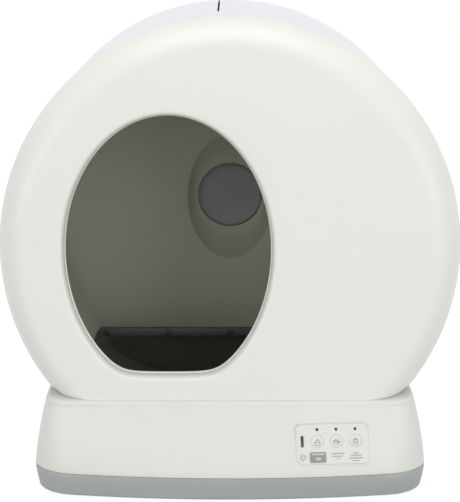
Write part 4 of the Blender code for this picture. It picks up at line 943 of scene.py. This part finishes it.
# --- Front shell ---
# The front moulding: a big white disc with a deep rounded rim, nearly flat, with an off-centre
# egg-shaped entrance whose edge is rolled inwards. It clips to the hood and stands on the deck.
SHELL_AXIS_Z = 0.2713
SHELL_RADIUS = 0.2642
SHELL_FACE_Y = -0.2155
SHELL_WIDEST_Y = -0.155
SHELL_BACK_Y = -0.130
SHELL_EASED_Y = -0.1425
RIM_WIDTH = 0.034
RIM_DEPTH = 0.0605
SHELL_BOTTOM = 0.1071
TIGHT_CORNER = 150
OPEN_CORNER = 40
OPENS_FROM = 22.0
OPENS_UNTIL = 48.0
OPENS_WITHIN = 6.0
SHELL_OPENING = (0.163, -0.1955)
EGG_CENTRE = (-0.0692, 0.2770)
EGG_HALF_WIDTH = 0.1153
EGG_UPPER = 0.1514
EGG_LOWER = 0.1580
EGG_FLAT = 0.1424
EGG_SHARPNESS = 28
LIP_RADIUS = 0.006
LIP_DEPTH = 0.016
LIP_ROLL = 0.0105
BEAD_HEIGHT = 0.0009
BEAD_DEPTH = 0.0030
FACE_DOME = 0.0015
SHELL_STEPS = 288


def flattened(centre, half_width, upper, lower, flat, sharpness, y):
    """A ring of two half ovals, the lower one held to a flat depth with a rounded corner there."""
    ring = []
    for i in range(SHELL_STEPS):
        angle = tau * (i + 0.5) / SHELL_STEPS
        rise = upper * sin(angle)
        if rise < 0:
            depth = -lower * sin(angle)
            rise = -depth / (1 + (depth / flat) ** sharpness) ** (1 / sharpness)
        ring.append((centre[0] + half_width * cos(angle), y, centre[1] + rise))
    return ring


def shell_outline(radius, y, sharpness=TIGHT_CORNER):
    """The shell's circle with its flat bottom, which follows the deck's fall."""
    flat = SHELL_AXIS_Z - SHELL_BOTTOM + deck_fall(y)
    return flattened((0.0, SHELL_AXIS_Z), radius, radius, radius, flat, sharpness, y)


def egg_outline(grow, y):
    """The entrance's outline, grown outwards by an even margin."""
    return flattened(
        EGG_CENTRE, EGG_HALF_WIDTH + grow, EGG_UPPER + grow, EGG_LOWER + grow, EGG_FLAT + grow,
        EGG_SHARPNESS, y)


# The bottom corners open up a little where the rim starts to round to the front.
rings = [shell_outline(SHELL_RADIUS - 0.0015, SHELL_BACK_Y)]
rings.append(shell_outline(SHELL_RADIUS - 0.0006, SHELL_EASED_Y))
opening_x, opening_y = SHELL_OPENING
for step in range(21):
    turn = radians(90.0 * step / 20)
    if step == 9:
        turn = asin((SHELL_WIDEST_Y - opening_y) / RIM_DEPTH)
    at = degrees(turn)
    opened = min(1.0, (at - OPENS_FROM) / OPENS_WITHIN, (OPENS_UNTIL - at) / OPENS_WITHIN)
    opened = max(0.0, opened)
    rings.append(shell_outline(
        SHELL_RADIUS - RIM_WIDTH * (1 - cos(turn)), SHELL_WIDEST_Y - RIM_DEPTH * sin(turn),
        1 / ((1 - opened) / TIGHT_CORNER + opened / OPEN_CORNER)))
outside = [Vector(point) for point in rings[-1]]
inside = [Vector(point) for point in egg_outline(LIP_RADIUS, SHELL_FACE_Y)]
for step in range(1, 15):
    share = step / 15
    dome = Vector((0, -FACE_DOME * sin(radians(90.0) * share), 0))
    rings.append([a.lerp(b, share) + dome for a, b in zip(outside, inside)])
for turn in quarter_turn(8):
    rings.append(egg_outline(
        LIP_RADIUS - (LIP_RADIUS - BEAD_HEIGHT) * sin(turn),
        SHELL_FACE_Y - FACE_DOME + LIP_ROLL * (1 - cos(turn))))
bead_y = SHELL_FACE_Y + LIP_DEPTH - BEAD_DEPTH
for grow, y in (
        (BEAD_HEIGHT, bead_y - 0.0001), (BEAD_HEIGHT - 0.0001, bead_y), (0.0003, bead_y + 0.0001),
        (0.0, bead_y + 0.0004), (0.0, SHELL_FACE_Y + LIP_DEPTH)):
    rings.append(egg_outline(grow, y))
bm = pull_rings(rings)
bottom = []
for face in bm.faces:
    x, y, z = face.calc_center_median()
    if z < SHELL_BOTTOM + 0.0006 and abs(x) < opening_x and y > opening_y:
        bottom.append(face)
bmesh.ops.delete(bm, geom=bottom, context="FACES")
add_piece(
    "white_front_shell", bm, white_abs, "housing", "white_plastic", "front_shell",
    wall=HOUSING_WALL)


# --- Rear hood ---
# The barrel-shaped hood over the drum, in a cooler and glossier white than the shell. A narrow
# slit along its top lets air in, and it rounds over to a flat back.
HOOD_RADIUS = 0.2634
HOOD_REAR_Y = 0.256
HOOD_STRAIGHT_Y = 0.176
HOOD_ROUNDING = 0.080
HOOD_FRONT_Y = SHELL_BACK_Y + 0.0001
SLIT_X = -0.014
SLIT_START_Y = -0.070
SLIT_END_Y = 0.170
SLIT_WIDTH = 0.0024

# Cool white ABS: bluish white with a silky gloss, from a polished mould.
cool_abs = moulded_plastic("moulded_cool_white_abs", "E6E7EE", "E2E3EA", 0.33, 1.3, 0.03)

profile = [(0, HOOD_REAR_Y), (0.06, HOOD_REAR_Y), (0.12, HOOD_REAR_Y)]
for turn in quarter_turn(16):
    profile.append((
        HOOD_RADIUS - HOOD_ROUNDING + HOOD_ROUNDING * sin(turn),
        HOOD_STRAIGHT_Y + HOOD_ROUNDING * cos(turn)))
for step in range(1, 9):
    profile.append((HOOD_RADIUS, HOOD_STRAIGHT_Y + (HOOD_FRONT_Y - HOOD_STRAIGHT_Y) * step / 8))
bm = turn_profile(profile, shift(0, 0, SHELL_AXIS_Z) @ ALONG_Y, 240)
bmesh.ops.bisect_plane(
    bm, geom=bm.verts[:] + bm.edges[:] + bm.faces[:], dist=WELD,
    plane_co=(0, 0, SHELL_BOTTOM), plane_no=(0, 0, -1), clear_outer=True)
slit_place = shift(SLIT_X, (SLIT_START_Y + SLIT_END_Y) / 2, SHELL_AXIS_Z + HOOD_RADIUS)
open_hole(bm, slit_place, rounded_rectangle(
    SLIT_WIDTH / 2, (SLIT_END_Y - SLIT_START_Y) / 2, SLIT_WIDTH / 2 - 0.0001, 4), -0.02, 0.02)
add_piece(
    "cool_white_hood", bm, cool_abs, "housing", "hood_plastic", "rear_hood", wall=HOUSING_WALL)


# --- Control panel ---
# A white face plate set a little into the base, with three round buttons, three indicator dots, a
# dark window and grey printed signs. A circuit board lies behind it.
FACE_THICKNESS = 0.0025
PANEL_DEPTH = 0.0080
BUTTON_PITCH = 0.0216
BUTTON_FIRST = -0.0166
BUTTON_UP = 0.0026
BUTTON_RADIUS = 0.0071
BUTTON_PROUD = 0.0006
BUTTON_EDGE = 0.0009
LED_UP = 0.0158
LED_RADIUS = 0.0015
WINDOW_ALONG = -0.0338
WINDOW_HALF = (0.0015, 0.0063)
FRAME_WIDTH = 0.002
RUNNING_GAP = 0.00012
FIXED_GAP = 0.0002
PRINT_THICKNESS = 0.00006
LINE_WIDTH = 0.00055
ICON_DROP = 0.0006
SUN_CENTRE = (-0.0337, -0.0152)


def moved(outline, along, up):
    """An outline moved along and up the panel."""
    return [(x + along, y + up) for x, y in outline]


button_places = {
    name: BUTTON_FIRST + BUTTON_PITCH * i for i, name in enumerate(("clean", "fill", "empty"))}
rim = rounded_rectangle(PANEL_WIDTH / 2, PANEL_HEIGHT / 2, PANEL_CORNER, 12)
outlines = [rim]
for along in button_places.values():
    outlines.append(circle(BUTTON_RADIUS + RUNNING_GAP, along, BUTTON_UP, 64))
for along in button_places.values():
    outlines.append(circle(LED_RADIUS + FIXED_GAP, along, LED_UP))
window = rounded_rectangle(
    WINDOW_HALF[0] + FIXED_GAP, WINDOW_HALF[1] + FIXED_GAP, WINDOW_HALF[0])
outlines.append(moved(window, WINDOW_ALONG, BUTTON_UP))
bm = flat_cut(outlines, -FACE_THICKNESS, 0.0, 0.0001, panel_place)
rings = []
for grow, height in (
        (0.0002, -FACE_THICKNESS), (0.0002, 0.0007), (0.0, 0.0008), (-0.0014, 0.0001),
        (-0.0015, -0.0001)):
    rings.append([panel_place @ Vector((*point, height)) for point in rounded_rectangle(
        PANEL_WIDTH / 2 + grow, PANEL_HEIGHT / 2 + grow, PANEL_CORNER + grow, 12)])
pull_rings(rings, bm=bm)
inner = rounded_rectangle(
    PANEL_WIDTH / 2 - FRAME_WIDTH, PANEL_HEIGHT / 2 - FRAME_WIDTH, PANEL_CORNER - FRAME_WIDTH, 12)
flat_cut([rim, inner], -PANEL_DEPTH, -FACE_THICKNESS, 0.0, panel_place, bm)
add_piece("control_face", bm, shaded_white_abs, "housing", "white_plastic", "control_panel")

for name, along in button_places.items():
    cap = [(0, BUTTON_PROUD - 0.00025), (BUTTON_RADIUS * 0.4, BUTTON_PROUD - 0.0002),
           (BUTTON_RADIUS * 0.75, BUTTON_PROUD - 0.00008)]
    for angle in quarter_turn(6):
        cap.append((
            BUTTON_RADIUS - BUTTON_EDGE * (1 - sin(angle)),
            BUTTON_PROUD - BUTTON_EDGE * (1 - cos(angle))))
    cap += [(BUTTON_RADIUS, -0.0028), (BUTTON_RADIUS + 0.0014, -0.0028),
            (BUTTON_RADIUS + 0.0014, -0.0038), (BUTTON_RADIUS / 3, -0.0038),
            (BUTTON_RADIUS / 3, -0.0047), (0, -0.0047)]
    button = "button_" + name
    bm = turn_profile(cap, panel_place @ shift(along, BUTTON_UP, 0), 64)
    add_piece("round_" + button, bm, shaded_white_abs, button, "white_plastic", button)
    lamp = [(0, 0.00025), (0.0006, 0.0002), (0.0011, 0.00005), (LED_RADIUS - 0.0001, -0.0002),
            (LED_RADIUS, -0.0005), (LED_RADIUS, -0.0057), (0, -0.0057)]
    dot = turn_profile(lamp, panel_place @ shift(along, LED_UP, 0), 24)
    add_piece("indicator_dot_" + name, dot, black_abs, "housing", "black_plastic", "led_" + name)

bm = flat_cut([rounded_rectangle(*WINDOW_HALF, 0.0012)], -FACE_THICKNESS, -0.0001, 0.0002,
              panel_place @ shift(WINDOW_ALONG, BUTTON_UP, 0))
add_piece("light_window", bm, black_abs, "housing", "black_plastic", "indicator_window")


def ink(name, shade, worn):
    """Screen-printed ink: flat and dull, a little broken where the skin's grain shows through."""
    return clouded_finish(name, (shade, worn), pattern(0.625), (0.6, 0.6), IOR=1.48)


def stroke(points):
    """The outline of a printed line: along one side of its points and back along the other."""
    there, back = [], []
    for i, point in enumerate(points):
        run = Vector(points[min(len(points) - 1, i + 1)]) - Vector(points[max(0, i - 1)])
        aside = Vector((-run.y, run.x)).normalized() * LINE_WIDTH / 2
        there.append(tuple(Vector(point) + aside))
        back.append(tuple(Vector(point) - aside))
    return there + back[::-1]


def on_circle(centre, radius, turn):
    """A point on a circle, at an angle in degrees."""
    angle = radians(turn)
    return centre[0] + radius * cos(angle), centre[1] + radius * sin(angle)


def add_print(
        name, outlines, material, low=0.0, high=PRINT_THICKNESS, body="housing", place=panel_place):
    """A printed sign: thin plates of ink between two heights over the panel's face."""
    bm = bmesh.new()
    for outline in outlines:
        flat_cut([outline], low, high, 0.0, place, bm)
    add_piece(name, bm, material, body, "grey_plastic")


# Dark grey ink: the small icons and the rays, crisp and nearly black. The screen's mesh of 0.1 mm
# is too fine to show, so all inks break up at 0.6 mm.
dark_ink = ink("screen_printed_dark_grey_ink", "5E615E", "6C6F6C")
# Mid grey ink: the label block, softer than the icons.
mid_ink = ink("screen_printed_mid_grey_ink", "8E918B", "979A94")
# Light grey ink: the rows of bars, fainter than the block.
light_ink = ink("screen_printed_light_grey_ink", "A2A59F", "ABAEA8")
# Smoky tint: dark greenish grey over the lower half of the window.
tint_ink = ink("smoky_window_tint", "4C564E", "525C54")
# Pale ink: the strips left light in the label block.
pale_ink = ink("screen_printed_pale_ink", "C2C4BE", "C9CBC5")

# On the buttons, in millimetres from each centre: a heap over a tray, a bowl being filled, a bin.
icons = {
    "clean": [
        [(-2.2, 0.2), (0.0, 3.0)], [(0.0, 3.0), (2.3, 0.2)], [(-3.6, -0.6), (3.3, -0.7)],
        [(-3.4, -0.6), (-2.7, -4.0), (2.2, -4.0), (3.1, -0.7)]],
    "fill": [
        [(-3.8, 1.1), (-3.5, -0.9), (-2.2, -2.4), (-0.3, -3.0), (1.8, -2.7), (3.2, -1.7),
         (3.8, -0.3)],
        [(-3.8, 1.1), (3.8, -0.3)], [(-2.0, 0.0), (3.0, -1.1)], [(-1.2, 2.9), (-0.4, 1.5)],
        [(1.0, 2.6), (1.4, 1.2)]],
    "empty": [
        [(-3.2, 1.8), (3.2, 1.8)],
        [on_circle((0.0, 1.8), 1.1, turn) for turn in range(180, -1, -18)],
        [(-2.7, 0.6), (-2.4, -3.8), (2.4, -3.8), (2.7, 0.6)], [(-0.9, 0.3), (-0.8, -2.7)],
        [(0.9, 0.3), (0.8, -2.7)]],
}
for name, lines in icons.items():
    lines = [stroke([(x / 1000, y / 1000 - ICON_DROP) for x, y in line]) for line in lines]
    add_print("printed_icon_" + name, lines, dark_ink, 0.0002, 0.00054, f"button_{name}",
              panel_place @ shift(button_places[name], BUTTON_UP, 0))

# On the face: a small sun under the window.
rays = [[on_circle(SUN_CENTRE, reach, 45 * i) for reach in (0.0013, 0.0043)] for i in range(8)]
add_print("printed_sun", [stroke(ray) for ray in rays], dark_ink)

# A block with a pale strip and a pale middle, and bars in place of the small print, each bar from
# its left and top to its right and bottom in millimetres.
label = rounded_rectangle(0.0093, 0.0060, 0.0014)
add_print("printed_label_block", [moved(label, -0.0166, -0.0154)], mid_ink)
bars = (
    (-1.4, -10.9, 13.1, -12.3), (-0.6, -14.1, 11.8, -15.2), (4.4, -16.8, 8.0, -17.6),
    (23.5, -10.8, 29.5, -12.1), (20.4, -13.5, 32.5, -14.8), (18.7, -16.4, 34.1, -17.8),
    (21.9, -19.3, 30.7, -20.4))
add_print("printed_bars", [moved(
    rounded_rectangle((right - left) / 2000, (top - bottom) / 2000, 0.0003, 2),
    (left + right) / 2000, (top + bottom) / 2000) for left, top, right, bottom in bars], light_ink)
add_print(
    "printed_pale_strips", [
        moved(rounded_rectangle(0.0075, 0.0009, 0.0004, 2), -0.0163, -0.0118),
        moved(rounded_rectangle(0.0030, 0.0015, 0.0004, 2), -0.0162, -0.0170)],
    pale_ink, PRINT_THICKNESS, PRINT_THICKNESS * 2)
# The window's lower half is printed lighter.
add_print("printed_window_tint", [moved(
    rounded_rectangle(WINDOW_HALF[0] - 0.0003, WINDOW_HALF[1] / 2 - 0.0002, 0.0008, 4),
    WINDOW_ALONG, BUTTON_UP - WINDOW_HALF[1] / 2)], tint_ink, -0.0001, -0.00004)


# --- Power inlet ---
# A round low-voltage inlet of black ABS, pressed through the left wall from outside. Its socket is
# open for a plug, and the circuit board that it feeds is finished here too.
inlet = turn_profile([
    (0, -0.0085), (0.0040, -0.0085), (0.0040, 0.0010), (0.0045, 0.0015), (0.0080, 0.0015),
    (INLET_FLANGE, 0.0010), (INLET_FLANGE, 0.0002), (INLET_RADIUS, 0.0002), (INLET_RADIUS, -0.0140),
    (0, -0.0140)], inlet_frame(), 64)
add_piece("black_power_inlet", inlet, black_abs, "housing", "black_plastic", "power_inlet")

# Circuit board: green solder mask with a dull gloss over faint tracks.
board, shader, place = finish_of("green_solder_mask", IOR=1.5)
tracks = add_node(board, "TexBrick", {
    "Vector": place, "Scale": 1000.0 / 11.1, "Color1": linear("14532A"), "Color2": linear("1A5E31"),
    "Mortar": linear("0E4421"), "Mortar Size": 0.03})
mask = add_node(board, "TexNoise", {"Vector": place, **pattern(5.0)})
gloss = add_node(board, "MapRange", {"Value": mask, "To Min": 0.3, "To Max": 0.5})
fill_inputs(board, shader, {"Base Color": tracks, "Roughness": gloss})
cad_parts["control_board"].material_slots[0].material = board


# --- Studio ---
# A pale floor that rises into a backdrop behind the box, six soft lamps and an even white room.
# The camera stands 2 m away and looks 12 degrees down, as in the photo.
FLOOR_REACH = 9.0
BACKDROP_Y = 7.0
BACKDROP_CURVE = 1.5
BACKDROP_TOP = 7.0
FLOOR_LIFT = 0.75
ROOM_LEVEL = 0.57
CAMERA_PLACE = (0.0, -1.9563, 0.6487)
CAMERA_LENS = 114.67
CAMERA_TILT = 78.0

bm = bmesh.new()
floor_line = [(-FLOOR_REACH, 0), (BACKDROP_Y, 0)]
for angle in quarter_turn(9, 1):
    floor_line.append((
        BACKDROP_Y + BACKDROP_CURVE * sin(angle), BACKDROP_CURVE - BACKDROP_CURVE * cos(angle)))
floor_line.append((BACKDROP_Y + BACKDROP_CURVE, BACKDROP_TOP))
points = [bm.verts.new((-FLOOR_REACH, y, z)) for y, z in floor_line]
edges = [bm.edges.new(pair) for pair in zip(points, points[1:])]
wide = bmesh.ops.extrude_edge_only(bm, edges=edges)["geom"]
bmesh.ops.translate(
    bm, verts=[v for v in wide if isinstance(v, bmesh.types.BMVert)], vec=(FLOOR_REACH * 2, 0, 0))
bmesh.ops.recalc_face_normals(bm, faces=bm.faces)
# Painted floor: pale and matt. What the camera sees of it is lifted to white, and it keeps the
# object's shadow.
painted, shader, place = finish_of(
    "painted_studio_floor", Roughness=0.9, Base_Color=linear("B4B4B4"))
floor = place_mesh("studio_floor", bm, painted)


def seen_rays(material, *kinds):
    """One for these kinds of ray, nought for all others."""
    seen = 0.0
    for kind in kinds:
        ray = add_node(material, "LightPath", output=kind)
        seen = add_node(material, "Math", {0: seen, 1: ray}, operation="MAXIMUM")
    return seen


lift = add_node(painted, "Math", {
    0: seen_rays(painted, "Is Camera Ray", "Is Glossy Ray"), 1: FLOOR_LIFT}, operation="MULTIPLY")
glow = add_node(painted, "Emission", {"Color": linear("FFFFFF"), "Strength": lift})
both = add_node(painted, "AddShader", {0: shader.outputs[0], 1: glow})
fill_inputs(painted, painted.node_tree.nodes["Material Output"], {"Surface": both})

world = bpy.data.worlds.new("white_room")
scene.world = world
world.use_nodes = True
seen = seen_rays(world, "Is Camera Ray", "Is Glossy Ray", "Is Transmission Ray")
strength = add_node(world, "MapRange", {"Value": seen, "To Min": ROOM_LEVEL, "To Max": 1.0})
fill_inputs(world, world.node_tree.nodes["Background"], {
    "Color": linear("FFFFFF"), "Strength": strength})

for name, place, target, size, power in (
        ("overhead_softbox", (0.0, -0.2, 2.6), (0, 0, 0.3), 2.4, 24),
        ("front_softbox", (0.0, -3.4, 0.55), (-0.05, 0, 0.27), 1.2, 6.5),
        ("front_right_softbox", (1.5, -3.0, 0.55), (-0.05, 0, 0.27), 1.4, 16.5),
        ("front_left_softbox", (-1.8, -2.6, 0.7), (0, 0, 0.27), 1.4, 8),
        ("right_softbox", (2.4, -1.6, 0.7), (0, 0, 0.27), 1.4, 10.5),
        ("left_softbox", (-2.4, -1.6, 0.7), (0, 0, 0.27), 1.4, 9.5)):
    lamp = bpy.data.lights.new(name, "AREA")
    lamp.shape = "SQUARE"
    lamp.size = size
    lamp.energy = power
    hung = bpy.data.objects.new(name, lamp)
    hung.location = place
    hung.rotation_euler = (Vector(target) - Vector(place)).to_track_quat("-Z", "Y").to_euler()
    scene.collection.objects.link(hung)

camera = bpy.data.objects.new("camera", bpy.data.cameras.new("camera"))
camera.data.lens = CAMERA_LENS
camera.location = CAMERA_PLACE
camera.rotation_euler = (radians(CAMERA_TILT), 0.0, 0.0)
scene.collection.objects.link(camera)
scene.camera = camera
scene.view_settings.view_transform = "Standard"
